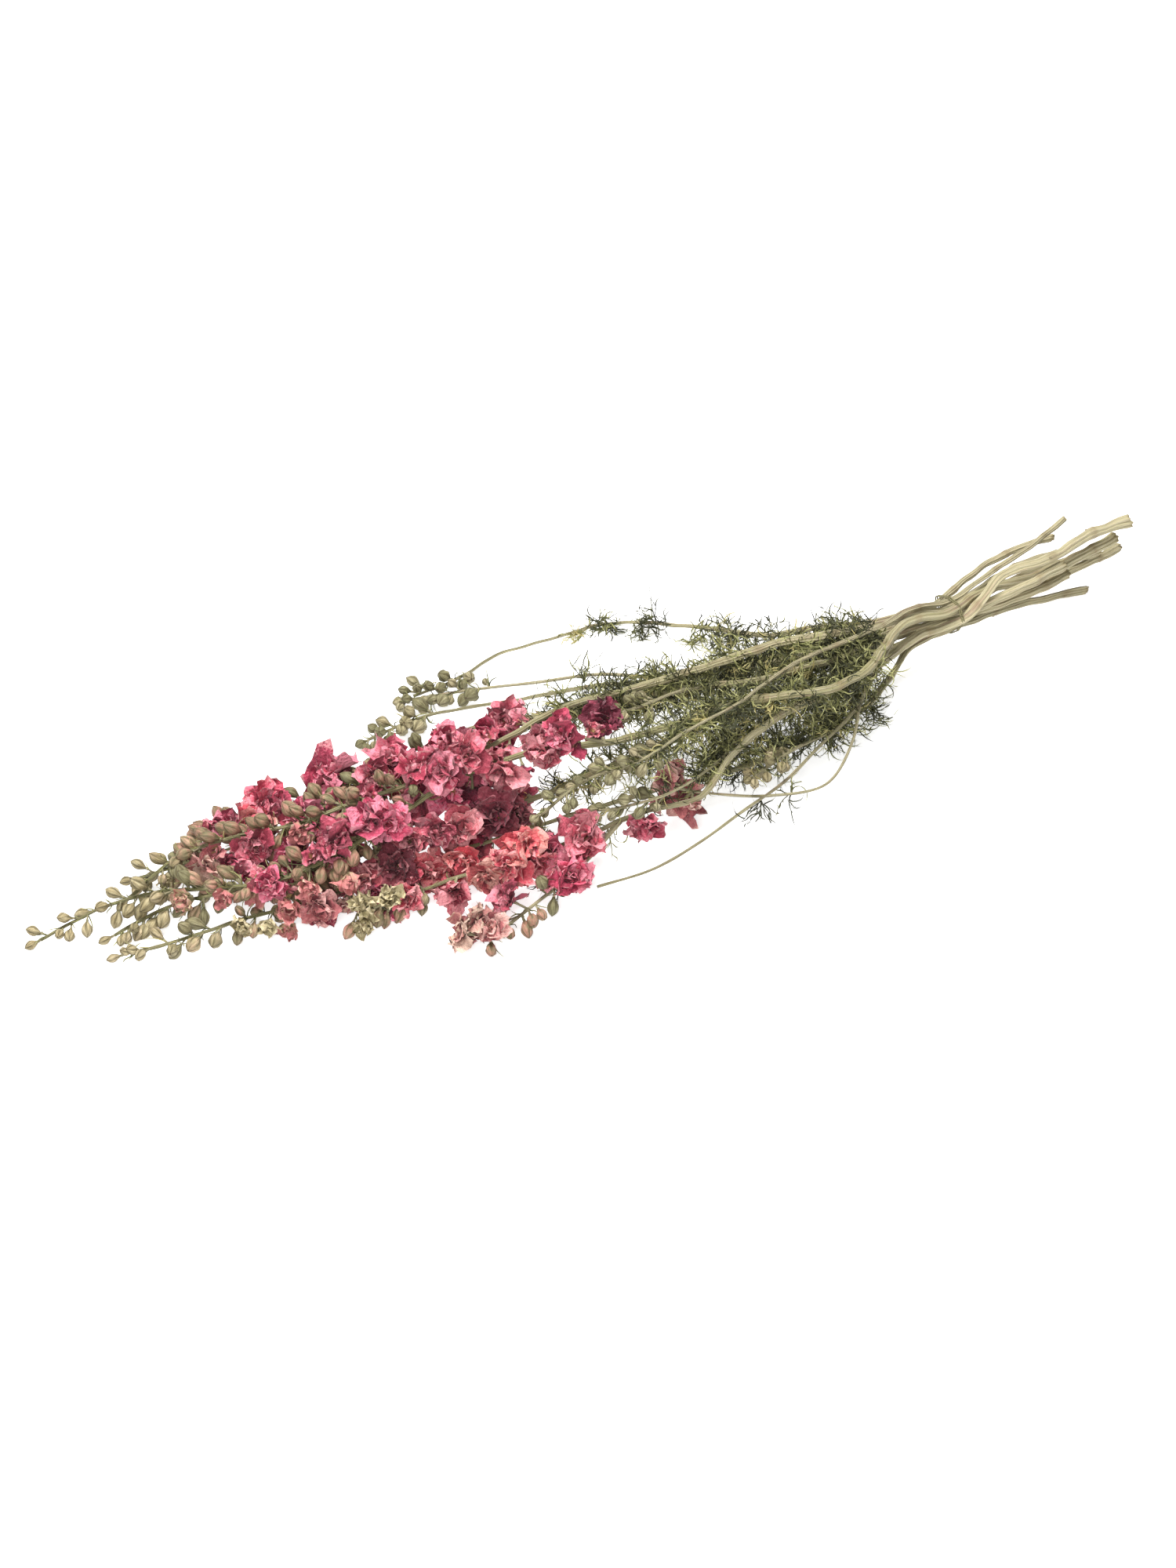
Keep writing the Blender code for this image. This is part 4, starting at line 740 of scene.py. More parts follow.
def cane(axis, draw):
    """The ribbed skin of a stem. Its radius is the laid-out one, times a sum of cosines round it for ribs
    and flutes, times a bell-shaped swelling at each leaf joint. The cut end is a slanting, ragged rim round a
    sunken pith. Returned with the places along it where a leaf was stripped off."""
    main = axis.name in STEMS
    sides = CANE_SIDES if main else TWIG_SIDES
    fine = np.linspace(0, axis.marks[-1], axis.marks[-1] * RINGS_A_KNOT + 1)
    path = curve_through(axis.knots, fine)
    along = lengths_along(path)
    if main:
        path = crooked(path, along, draw)
    radius = np.maximum(np.interp(fine, axis.marks, axis.knot_radii) * SKIN, THINNEST)
    turns = math.tau * np.arange(sides) / sides
    phase = draw.uniform(0, math.tau, 5)
    share = along / along[-1]
    wander = phase[0] + 7.0 * along[:, None] + 0.5 * np.sin(60.0 * along[:, None] + phase[4])
    rib = np.cos(RIBS * turns + wander)
    grooves = RIB_HEIGHT * np.sign(rib) * np.abs(rib) ** 0.7 * (1 - 0.5 * share[:, None])
    flutes = FLUTE_DEPTH * np.cos(3 * turns + phase[1] - 14.0 * along[:, None])
    flat = FLATNESS * np.cos(2 * turns + phase[2] + 20.0 * along[:, None])
    (slow, deep), (fast, fine_deep) = UNEVEN
    uneven = 1 + deep * np.sin(along * slow + phase[3]) + fine_deep * np.sin(along * fast + phase[1])
    swell = uneven + FLARE.get(axis.name, USUAL_FLARE) * np.exp(-((along / FLARE_LENGTH) ** 2))
    joint = np.zeros(len(along))
    scars = []
    if main:
        for at in np.arange(draw.uniform(*FIRST_JOINT) * MM, LAST_JOINT * along[-1], JOINT_STEP):
            at = at + draw.uniform(-JOINT_OFF, JOINT_OFF) * MM
            joint = np.maximum(joint, np.exp(-(((along - at) / JOINT_HALF) ** 2)))
            if at < LEAFLESS:
                scars.append(np.interp(at, along, fine))
        radius = radius * (1 + JOINT_SWELL * joint)
    shape = (1 + grooves * (1 - joint[:, None]) + flutes + flat) * (radius * swell)[:, None]
    cut, pith = np.zeros(shape.shape), np.zeros(shape.shape)
    rib = np.broadcast_to(rib, shape.shape)
    if main:
        inward = normalised(path[1] - path[0])
        depths, reaches, takes = np.array(CUT_RINGS).T[..., None]
        extra = len(CUT_RINGS)
        path = np.vstack([path[0] + inward * depths * MM, path[1:]])
        shape = np.vstack([shape[0] * reaches, shape[1:]])
        cut = np.vstack([np.ones((extra, sides)), cut[1:]])
        pith = np.vstack([np.ones((PITH_RINGS, sides)), np.zeros((extra - PITH_RINGS, sides)), pith[1:]])
        along = np.concatenate([[0.0] * extra, along[1:]])
        joint = np.concatenate([[0.0] * extra, joint[1:]])
        rib = np.vstack([rib[:1]] * (extra - 1) + [rib])
    points = rings_along(path[None], shape[None], turns)[0]
    if main:
        slant = RIM_SLANT * np.cos(turns - phase[0]) + RIM_WAVES * np.cos(5 * turns + phase[1])
        slant = slant + draw.normal(0, RIM_RAGGED, sides)
        points[:extra] += inward * (slant * radius[0] * takes)[..., None]
    raise_to(points, 0.0)
    return cane_part(points, turns, along[:, None], OLIVE[axis.stem], joint[:, None], cut, pith, rib), scars


def stubs(axis, scars, draw):
    """What is left of each stripped leaf: a short bent peg, a tapering tube that leans towards the tip."""
    count, rings, sides = len(scars), 5, 6
    roots = curve_through(axis.knots, scars)
    ahead = normalised(curve_through(axis.knots, np.array(scars) + 0.05) - roots)
    side = normalised(np.cross(ahead, draw.normal(0, 1, (count, 3))))
    way = normalised(side * 0.9 + ahead * draw.uniform(0.3, 0.9, (count, 1)))
    thick = np.interp(scars, axis.marks, axis.knot_radii)[:, None, None]
    long = thick * draw.uniform(1.1, 1.4, (count, 1, 1))
    t = np.linspace(0, 1, rings)[:, None]
    paths = roots[:, None] + (way[:, None] * t + ahead[:, None] * 0.4 * t**2) * long
    raise_to(paths, STUB_HEIGHT)
    radii = thick * np.interp(t, [0, 0.6, 0.85, 1.0], [0.62, 0.36, 0.3, 0.1])
    turns = math.tau * np.arange(sides) / sides
    return cane_part(rings_along(paths, radii, turns), turns, t * 0.01, olive=0.3, joint=0.7)


def cane_finish():
    """Straw mixed to olive, with long streaks of pinkish brown and fine pale and dark threads, stretched
    along the stem. The pale threads gather on the ribs as a painted highlight, and the dark ones between them
    as painted shade. Brown at the joints, pale straw over the rim of the cut end, and brown in its sunken
    pith."""
    made = Finish("dried_cane", {"Roughness": 0.6})
    along = made.number("along")
    grain = made.number("around_x").joined(made.number("around_y"), along)
    broad = grain.stretched(1.3, 1.3, 15.0).noise(1.0, 3.0)
    streak = grain.stretched(4.0, 4.0, 26.0).noise(1.0, 4.0)
    thread = grain.stretched(11.0, 11.0, 50.0).noise(1.0, 3.0)
    fleck = grain.stretched(9.0, 9.0, 420.0).noise(1.0, 2.0)
    olive = (made.number("olive") * 0.5 + (broad - 0.5) * 1.5 + along * 1.2).step(0.15, 1.0)
    straw = olive.mix(colour(207, 196, 155), colour(152, 148, 98))
    tinted = ((streak - 0.5) * 2.4 + (broad - 0.5) * 1.6).step(0.05, 0.75).mix(straw, colour(182, 154, 130))
    rib = made.number("rib")
    # Fine pale threads, gathered on the ribs as a painted highlight.
    pale_threads_and_highlight = ((rib * 0.35 + (thread - 0.5) * 2.0).step(0.1, 0.6) * 0.65).mix(tinted, colour(229, 219, 188))
    # Fine dark threads, gathered between the ribs as painted shade.
    dark = (rib * -0.3 + (0.5 - thread) * 2.2).step(0.15, 0.6) * 0.55
    dark_threads_and_shade = dark.mix(pale_threads_and_highlight, colour(108, 98, 64))
    flecked = (fleck.step(0.64, 0.72) * 0.5).mix(dark_threads_and_shade, colour(96, 82, 56))
    jointed = (made.number("joint") * 0.55).mix(flecked, colour(146, 122, 84))
    rimmed = made.number("cut").mix(jointed, colour(202, 186, 138))
    made.feed("Base Color", made.number("pith").mix(rimmed, colour(146, 126, 82)))
    made.bump(rib * 0.3 + streak * 0.5 + thread * 1.2, 0.0006)
    return made.material


axes = lay_stems()
cane_material = cane_finish()
canes = {name: [] for name in STEMS}
for axis in axes.values():
    draw = np.random.default_rng([3, len(canes[axis.stem]), int(axis.stem[-2:])])
    skin, scars = cane(axis, draw)
    canes[axis.stem].append(skin)
    if scars:
        canes[axis.stem].append(stubs(axis, scars, draw))
for name, parts in canes.items():
    new_piece(name + "_cane", parts, cane_material, node=name)


# Blooms. Each is a double larkspur flower, dried so that its papery petals crumpled: five broad sepals, three
# rings of smaller petals inside them, and a tuft of stamens. It stands on its own stalk, which grew from the
# stem beside a thread-like bract. Where blooms of one stem ran into each other, they are one piece.

# Petals may be pressed this far into the table, and into the blooms of their own stem. Blooms that run TOUCH
# into each other are one piece.
PETAL_SINK = 1.2 * MM
BLOOM_OVERLAP = 7.5 * MM
TOUCH = 3.5 * MM
# Blooms and florets. Each is tried on every stem that its place in the picture lets it grow from, then a
# little smaller and up to ASIDE pixels aside, until it has room. STALKS are the lengths tried, in mm, and
# CENTRE is how far its middle is from its base, as a share of its radius.
STALKS = (4.0, 6.0, 8.5, 11.0)
CENTRE = 0.45
ROUNDS = 7
ROUND_SHRINK = 0.95
ASIDE = 2.5
# So many free places are looked through for one that touches the stem's other blooms.
CHOICES = 40
# A stalk's root is at most this many columns nearer the tip than its flower, or nearer the cut end.
ROOT_AHEAD = 14
ROOT_BEHIND = 50
# How much a stalk leans along its stem towards the tip, as a cosine: what is usual, least and most. Being
# off the usual, each mm of stalk and being on the far side of the stem make a place less likely.
USUAL_LEAN = 0.45
LEAST_LEAN = -0.25
MOST_LEAN = 0.95
STALK_COST = 0.03
FAR_SIDE_COST = 0.12
# The rods that a bloom fills, five of each kind, as shares of its radius: how far out and up each starts, how
# far out and up it ends, its own radius, and its turn past the first as a share of a fifth.
BLOOM_RODS = ((0.2, 0.3, 0.67, 0.45, 0.37, 0.0), (0.0, 0.45, 0.46, 0.7, 0.3, 0.5))
STALK_RADIUS = 0.6 * MM
STALK_GAP = 0.3 * MM
TABLE_GAP = 0.2 * MM
STALK_RINGS = 6
STALK_SIDES = 6
# How thick the stalks are seen, of blooms and of florets and buds.
BLOOM_STALK = 0.7 * MM
SMALL_STALK = 0.5 * MM
# How far stalks reach into their flower.
STALK_SUNK = 0.6 * MM
PETAL_ROWS = 8
PETAL_COLUMNS = 7
# How high petals are ruffled, creased and jittered, and how blunt their tips are, as shares of their length.
RUFFLE = 0.15
CREASE = 0.05
JITTER = 0.02
BLUNTNESS = 0.26
# How much petals wave and twist, in radians, and how far their leans at foot and tip stray, in degrees.
PETAL_WAVE = 0.55
PETAL_TWIST = 0.6
LEAN_OFF = 11
TIP_LEAN_OFF = 20
# How uneven their edges are, how far these cup and fold, as shares of half their width, and how torn the tip
# is, as a share of their length: the least and the most of each.
EDGE = (-0.2, 0.14)
CUP = (-0.35, 0.9)
FOLD = (-0.25, 0.6)
TORN = (-0.08, 0.07)
# Petals start this far from the middle, as a share of the flower's size. Theirs vary between these shares.
HEART = 0.08
PETAL_SIZES = (0.8, 1.1)
# The stamens, and their radius in mm at each ring up to the tip.
STAMENS = 10
STAMEN_RADII = (0.3, 0.22, 0.22, 0.55, 0.2)
# How far they lean out of the flower's way, how long they are, as shares of its size, and how far they bow.
STAMEN_LEAN = (0.05, 0.55)
STAMEN_LENGTH = (0.3, 0.5)
STAMEN_BOW = 0.12
# Each ring of petals: how many, length and width as shares of the bloom's radius, and lean at foot and tip.
WHORLS = (
    (5, 1.28, 1.3, 58, 108),
    (6, 1.18, 1.08, 44, 92),
    (6, 1.0, 0.92, 30, 74),
    (6, 0.8, 0.72, 18, 56),
    (4, 0.55, 0.5, 4, 36),
)
# Where the picture shows the middle of each bloom, and of each floret below: column, row, and radius in mm.
# What lies nearest the eye comes first.
BLOOM_SPOTS = [
    (473, 1045, 12.0), (744, 1067, 13.0), (370, 1106, 11.5), (643, 991, 12.0), (540, 1117, 11.5),
    (324, 1052, 10.5), (665, 1077, 11.5), (586, 1104, 11.0), (562, 984, 11.5), (322, 1112, 10.5),
    (531, 1027, 11.5), (572, 1021, 10.5), (330, 1023, 10.5), (478, 990, 10.5), (423, 983, 12.0),
    (728, 1117, 10.5), (577, 1142, 10.0), (407, 1158, 10.5), (603, 1013, 9.5), (648, 1108, 10.0),
    (415, 1008, 12.5), (273, 1095, 9.5), (604, 949, 10.5), (632, 943, 10.5), (854, 995, 10.5),
    (714, 933, 9.5), (644, 917, 9.5), (770, 917, 9.5), (824, 1055, 10.0), (872, 1020, 9.5),
    (645, 1145, 9.5), (420, 1072, 10.5), (632, 1042, 12.0), (551, 1121, 10.0), (689, 1101, 9.0),
    (400, 1112, 10.0), (287, 1054, 8.5), (498, 968, 10.0), (590, 1055, 10.0), (521, 1075, 9.5),
    (691, 964, 9.0), (596, 962, 10.0), (565, 945, 10.0), (390, 1041, 9.5), (325, 1081, 9.0),
    (689, 946, 9.0), (300, 1103, 8.5), (588, 1188, 9.5), (604, 1170, 8.5), (626, 1180, 8.5),
    (464, 1117, 9.5), (505, 1106, 10.0), (430, 1130, 9.5), (497, 1050, 9.5), (450, 1020, 9.5),
    (609, 1079, 9.0), (446, 1160, 9.0), (420, 1179, 8.5), (345, 1130, 8.5), (555, 1060, 9.5),
    (545, 1010, 9.5), (520, 1145, 8.5), (620, 1120, 9.0), (350, 1030, 8.5), (262, 1108, 8.0),
    (612, 985, 9.5), (585, 1075, 9.0), (380, 1080, 9.0), (480, 1140, 8.5), (660, 1040, 9.0),
    (530, 975, 9.5), (440, 1040, 9.0), (490, 1075, 9.0), (700, 1085, 8.5), (570, 1165, 8.5),
]
# How faded a bloom is on average, from 0 to 1.
FADED = 0.02
# Where the picture shows blooms of another tint than rose, coral or faded, and where blooms deep in the bunch
# get painted shade: column, row, and reach in pixels.
CORAL_SPOTS = [(600, 1116, 48), (668, 1090, 34), (550, 1122, 36), (320, 1048, 18)]
FADED_SPOTS = [(606, 1180, 44), (862, 1008, 30), (497, 1082, 22), (262, 1102, 24), (440, 1168, 34)]
SHADED_SPOTS = [(770, 917, 16), (645, 1042, 30), (505, 1108, 18), (632, 1140, 20), (610, 1000, 16)]


def segment_gaps(a, b, starts, ends):
    """Distances from segment ab to each of the others, from the nearest points of both."""
    along, other, between = b - a, ends - starts, a - starts
    aa = max(along @ along, 1e-12)
    oo = np.maximum((other * other).sum(1), 1e-12)
    ao, ab, ob = other @ along, between @ along, (other * between).sum(1)
    spread = aa * oo - ao * ao
    s = np.clip(np.where(spread > 1e-14, (ao * ob - ab * oo) / np.maximum(spread, 1e-14), 0.0), 0.0, 1.0)
    t = np.clip((ao * s + ob) / oo, 0.0, 1.0)
    s = np.clip((ao * t - ab) / aa, 0.0, 1.0)
    nearest = a + s[:, None] * along - starts - t[:, None] * other
    return np.linalg.norm(nearest, axis=1)


class Crowd:
    """What is already in the bunch, as round-ended rods, each owned by the node that it is part of."""

    def __init__(self):
        self.starts, self.ends = np.empty((0, 3)), np.empty((0, 3))
        self.radii, self.owners = np.empty(0), np.empty(0, dtype=object)

    def add(self, owner, rods):
        self.starts = np.vstack([self.starts, [rod[0] for rod in rods]])
        self.ends = np.vstack([self.ends, [rod[1] for rod in rods]])
        self.radii = np.append(self.radii, [rod[2] for rod in rods])
        self.owners = np.append(self.owners, [owner] * len(rods))

    def clear(self, owner, rods, sink=SINK, overlap=None):
        """True if rods keep GAP to other owners' rods, overlap their own no deeper, and stay on the table."""
        if any(min(a[2], b[2]) - radius < -sink for a, b, radius in rods):
            return False
        middle = np.mean([(a + b) / 2 for a, b, _ in rods], axis=0)
        spread = max(np.linalg.norm(end - middle) + radius for a, b, radius in rods for end in (a, b))
        half = np.linalg.norm(self.ends - self.starts, axis=1) / 2
        away = np.linalg.norm((self.starts + self.ends) / 2 - middle, axis=1)
        near = away < spread + half + self.radii + GAP
        kin = self.owners == owner
        if overlap is None:
            near &= ~kin
        starts, ends = self.starts[near], self.ends[near]
        if not len(starts):
            return True
        room = self.radii[near] + np.where(kin[near], -(overlap or 0.0), GAP)
        return not any((segment_gaps(a, b, starts, ends) < radius + room).any() for a, b, radius in rods)

    def touches(self, owner, rods):
        """True if rods run into their owner's others by TOUCH at least, so that their solids meet."""
        kin = self.owners == owner
        starts, ends, room = self.starts[kin], self.ends[kin], self.radii[kin] - TOUCH
        if not len(starts):
            return True
        return any((segment_gaps(a, b, starts, ends) < radius + room).any() for a, b, radius in rods)


def facing(direction):
    """Two unit vectors square to a direction."""
    side = np.array([0.0, 0.0, 1.0]) if abs(direction[2]) < 0.9 else np.array([1.0, 0.0, 0.0])
    first = unit(np.cross(direction, side))
    return first, np.cross(direction, first)


def outwards(axis, index, angle, lean):
    """A direction away from the axis at that angle round it, leaning towards the tip by lean radians."""
    ahead = axis.direction(index)
    first, second = facing(ahead)
    out = first * math.cos(angle) + second * math.sin(angle)
    return unit(out * math.cos(lean) + ahead * math.sin(lean))


def flower_rods(base, direction, radius, angle, rods):
    """Rods that hold a whole bloom or floret, five of each kind, given as shares of its radius."""
    first, second = facing(direction)
    held = []
    for near, low, far, high, girth, shift in rods:
        for petal in range(5):
            turn = angle + math.tau * (petal + shift) / 5
            out = first * math.cos(turn) + second * math.sin(turn)
            inner = base + (out * near + direction * low) * radius
            outer = base + (out * far + direction * high) * radius
            held.append((inner, outer, radius * girth))
    return held


class Flower:
    """A bloom, floret, bud or frond: where it leaves the axis, its base, its way, its size and its turn. The
    size is a bloom's or floret's radius, and a bud's or rib's length."""

    def __init__(self, axis, mark, base, direction, size, angle=0.0):
        self.axis, self.mark, self.base = axis, mark, base
        self.direction, self.size, self.angle = direction, size, angle

    def root(self):
        """Where it grows from the middle of the smooth stem."""
        return curve_through(self.axis.knots, [self.mark])[0]


def grown_on(stem, flowers):
    """Those of the flowers that grew on one main stem or on its shoots."""
    return [flower for flower in flowers if flower.axis.stem == stem]


def drawing(seed, stem):
    """The random numbers for one kind of piece on one main stem."""
    return np.random.default_rng([seed, int(stem[-2:])])


def likely_places(axes, kind, column, row, size):
    """Where a flower seen at a picture point could grow, the likeliest first. From each near sample of each
    stem that has such flowers, a stalk of each length may reach the sight line in front of it or behind."""
    sight = unit(spot(column, row, 0.0) - EYE)
    places = []
    for axis in axes.values():
        if kind not in axis.plan:
            continue
        first, last = axis.plan[kind]
        lowest, highest = max(last, column) - ROOT_AHEAD, min(first, column + ROOT_BEHIND)
        for index in np.flatnonzero((axis.columns > lowest) & (axis.columns < highest)):
            root = axis.line[index]
            foot = EYE + sight * ((root - EYE) @ sight)
            aside = np.linalg.norm(foot - root)
            for stalk in STALKS:
                reach = axis.radii[index] + stalk * MM + CENTRE * size
                if aside >= reach:
                    continue
                for side in (-1.0, 1.0):
                    centre = foot + sight * side * math.sqrt(reach**2 - aside**2)
                    direction = unit(centre - root)
                    lean = direction @ axis.direction(index)
                    cost = abs(lean - USUAL_LEAN) + STALK_COST * stalk + FAR_SIDE_COST * (side > 0.0)
                    if LEAST_LEAN < lean < MOST_LEAN:
                        base = root + direction * (reach - CENTRE * size)
                        places.append((cost, axis.name, int(index), base, direction))
    return sorted(places, key=lambda place: place[:3])


def place_flowers(axes, crowd, kind, spots, shape, seed):
    """Blooms or florets where the picture shows them, each at its likeliest place that is clear of the rest.
    A bloom goes where it also touches its stem's others, if one of its first places does."""
    draw = random.Random(seed)
    placed = []
    pink = kind == "blooms"
    for order, (column, row, radius) in enumerate(spots):
        angle = GOLDEN_ANGLE * order
        for attempt in range(ROUNDS):
            size = radius * MM * ROUND_SHRINK**attempt
            across = column + draw.uniform(-ASIDE, ASIDE) * attempt
            down = row + draw.uniform(-ASIDE, ASIDE) * attempt
            choices = []
            for _, name, index, base, direction in likely_places(axes, kind, across, down, size):
                axis = axes[name]
                owner = axis.stem + "_blooms" if pink else axis.stem
                rods = flower_rods(base, direction, size, angle, shape)
                stalk = (axis.line[index] + direction * axis.radii[index], base, STALK_RADIUS)
                if not crowd.clear(owner, rods, PETAL_SINK, BLOOM_OVERLAP if pink else 0.0):
                    continue
                if not crowd.clear(axis.stem, [stalk]):
                    continue
                flower = Flower(axis, axis.fine[index], base, direction, size, angle)
                choices.append((owner, rods, stalk, flower))
                if pink and crowd.touches(owner, rods):
                    choices = choices[-1:]
                    break
                if len(choices) == CHOICES:
                    break
            if choices:
                owner, rods, stalk, flower = choices[0]
                crowd.add(owner, rods)
                crowd.add(flower.axis.stem, [stalk])
                placed.append(flower)
                break
    return placed


def stalks(flowers, thick):
    """Stalks from the smooth stems to the flowers: each bends evenly from the stem's way to the flower's,
    as a Bezier curve of three points, and widens into the flower's foot."""
    roots = np.array([flower.root() for flower in flowers])
    ends = np.array([flower.base + flower.direction * STALK_SUNK for flower in flowers])
    reach = np.linalg.norm(ends - roots, axis=1, keepdims=True)
    middles = ends - np.array([flower.direction for flower in flowers]) * reach * 0.6
    t = np.linspace(0, 1, STALK_RINGS)[None, :, None]
    paths = roots[:, None] * (1 - t) ** 2 + middles[:, None] * 2 * t * (1 - t) + ends[:, None] * t**2
    raise_to(paths, thick + TABLE_GAP)
    radii = thick * np.interp(np.linspace(0, 1, STALK_RINGS), [0, 0.15, 0.7, 1], [1.3, 1, 0.9, 1.7])
    turns = math.tau * np.arange(STALK_SIDES) / STALK_SIDES
    points = rings_along(paths, np.broadcast_to(radii[None, :, None], (*paths.shape[:2], 1)), turns)
    olive = 0.45 + 0.5 * np.array([OLIVE[flower.axis.stem] for flower in flowers])
    length = np.linspace(0, 1, STALK_RINGS)[:, None] * reach[:, None]
    return cane_part(points, turns, length, olive[:, None, None])


def petal_points(foot, face, out, length, width, lean, tip_lean, draw):
    """Crumpled petals as nets of points, one for each foot. The midline turns evenly from lean to tip_lean
    away from the way that the flower faces, and the petal twists about it. The width follows a sine that is
    blunt at the tip. The edges fold up or down by the square of the distance from the midline, and waves
    that grow towards them, with ragged noise, crumple the rest."""
    count = len(foot)
    v = np.linspace(0.0, 1.0, PETAL_ROWS)
    u = np.linspace(-1.0, 1.0, PETAL_COLUMNS)
    wave = draw.uniform(-PETAL_WAVE, PETAL_WAVE, (count, 1))
    wave = wave * np.sin(math.tau * v + draw.uniform(0, math.tau, (count, 1)))
    angle = lean[:, None] + (tip_lean - lean)[:, None] * v + wave * v
    pace = length[:, None, None] / (PETAL_ROWS - 1)
    ahead = np.cos(angle)[..., None] * face[:, None] + np.sin(angle)[..., None] * out[:, None]
    inside = np.sin(angle)[..., None] * face[:, None] - np.cos(angle)[..., None] * out[:, None]
    twist = (draw.normal(0, PETAL_TWIST, (count, 1)) * v)[..., None]
    flat_side = np.broadcast_to(np.cross(face, out)[:, None], inside.shape)
    side = np.cos(twist) * flat_side + np.sin(twist) * inside
    inside = np.cos(twist) * inside - np.sin(twist) * flat_side
    steps = np.cumsum(ahead, axis=1) * pace
    midline = foot[:, None] + np.concatenate([np.zeros((count, 1, 3)), steps[:, :-1]], axis=1)
    half = width[:, None] / 2 * np.sin(math.pi * (0.08 + 0.7 * v))
    uneven = draw.uniform(*EDGE, (count, PETAL_ROWS, PETAL_COLUMNS))
    half = half[..., None] * (1 + uneven * np.abs(u) ** 2)
    cup = draw.uniform(*CUP, (count, 1, 1)) * half * u**2
    fold = draw.uniform(*FOLD, (count, 1, 1)) * half * np.abs(u)
    sweep = draw.uniform(0, math.tau, (count, 3, 1, 1))
    ruffle = np.sin(3.6 * math.pi * v[:, None] + 1.9 * u + sweep[:, 0]) * np.abs(u) ** 1.4
    crease = np.sin(4.6 * u + 2.4 * v[:, None] + sweep[:, 1])
    crease = crease + np.sin(8.0 * v[:, None] - 2.2 * u + sweep[:, 2])
    lift = cup + fold + length[:, None, None] * v[:, None] * (RUFFLE * ruffle + CREASE * crease)
    ragged = draw.uniform(*TORN, (count, 1, PETAL_COLUMNS)) * v[:, None] ** 4
    tip = length[:, None, None] * (ragged - BLUNTNESS * np.abs(u) ** 2.5 * v[:, None] ** 2)
    points = midline[:, :, None] + side[:, :, None] * (u * half)[..., None]
    points = points + inside[:, :, None] * lift[..., None] + ahead[:, :, None] * tip[..., None]
    points += draw.normal(0.0, JITTER, points.shape) * length[:, None, None, None] * v[:, None, None] ** 0.5
    raise_to(points, TABLE_GAP)
    grid = points.shape[1:3]
    return points, np.broadcast_to(v[:, None], grid), np.broadcast_to(np.abs(u), grid)


def spokes(direction, turns):
    """Unit vectors square to a direction, at these angles round it."""
    first, second = facing(direction)
    return np.cos(turns)[:, None] * first + np.sin(turns)[:, None] * second


def whorl(flower, petals, length, width, lean, tip_lean, shift, draw):
    """A ring of petals: where each starts and how it is turned, handed to petal_points."""
    turns = flower.angle + math.tau * (np.arange(petals) + shift) / petals + draw.normal(0, 0.2, petals)
    out = spokes(flower.direction, turns)
    face = normalised(flower.direction + draw.normal(0, 0.12, (petals, 3)))
    out = normalised(out - face * (out * face).sum(1, keepdims=True))
    foot = flower.base + out * HEART * flower.size + face * STALK_GAP
    sizes = flower.size * draw.uniform(*PETAL_SIZES, petals)
    lean = np.radians(lean + draw.normal(0, LEAN_OFF, petals))
    tip_lean = np.radians(tip_lean + draw.normal(0, TIP_LEAN_OFF, petals))
    return petal_points(foot, face, out, sizes * length, sizes * width, lean, tip_lean, draw)


def petal_rings(flower, whorls, draw, **numbers):
    """Each ring of petals as a part, with the numbers that colour it. Every other ring is half a petal on."""
    parts = []
    for ring, (petals, *shape) in enumerate(whorls):
        points, v, u = whorl(flower, petals, *shape, 0.5 * (ring % 2), draw)
        tone = draw.uniform(0.0, 1.0, (petals, 1, 1))
        faces = [net(PETAL_ROWS, PETAL_COLUMNS, petals, closed=False)]
        inner = ring / (len(whorls) - 1)
        parts.append(Part(points, faces, reach=v, across=u, tone=tone, ring=inner, **numbers))
    return parts


def nearness(place, spots):
    """How near a place is seen to the closest of the spots: 1 there, falling as a bell curve of its reach."""
    column, row = picture_point(place)
    away = [math.hypot(column - x, row - y) / reach for x, y, reach in spots]
    return math.exp(-min(away) ** 2)


def bloom_petals(bloom, whorls, faded, draw):
    """All petals of one bloom, coloured by where the picture shows it."""
    coral = float(np.clip(nearness(bloom.base, CORAL_SPOTS) + draw.normal(0.0, 0.15), 0.0, 1.0))
    pale = float(np.clip(0.9 * nearness(bloom.base, FADED_SPOTS) + draw.normal(faded, 0.14), 0.0, 0.95))
    # How much painted shade the bloom gets: full at the shaded spots, and a little more or less at random.
    dark = float(np.clip(nearness(bloom.base, SHADED_SPOTS) + draw.normal(0.02, 0.14), 0.0, 1.0))
    return petal_rings(bloom, whorls, draw, coral=coral, pale=pale, dark=dark, heart=0.0)


def stamens(flower, draw):
    """A tuft of threads, each a thin tube that fans out from the heart and thickens at its tip."""
    rings, sides = len(STAMEN_RADII), 3
    out = spokes(flower.direction, draw.uniform(0, math.tau, STAMENS))
    way = normalised(flower.direction + out * draw.uniform(*STAMEN_LEAN, (STAMENS, 1)))
    long = flower.size * draw.uniform(*STAMEN_LENGTH, (STAMENS, 1, 1))
    t = np.linspace(0, 1, rings)
    paths = flower.base + (way[:, None] * t[:, None] + out[:, None] * STAMEN_BOW * t[:, None] ** 2) * long
    radii = np.broadcast_to(np.array(STAMEN_RADII)[None, :, None] * MM, (STAMENS, rings, 1))
    points = rings_along(paths, radii, math.tau * np.arange(sides) / sides)
    raise_to(points, TABLE_GAP)
    return tubes(
        points, reach=t[:, None], across=0.0, tone=0.5, ring=1.0, coral=0.0, pale=0.0, dark=0.0, heart=1.0
    )


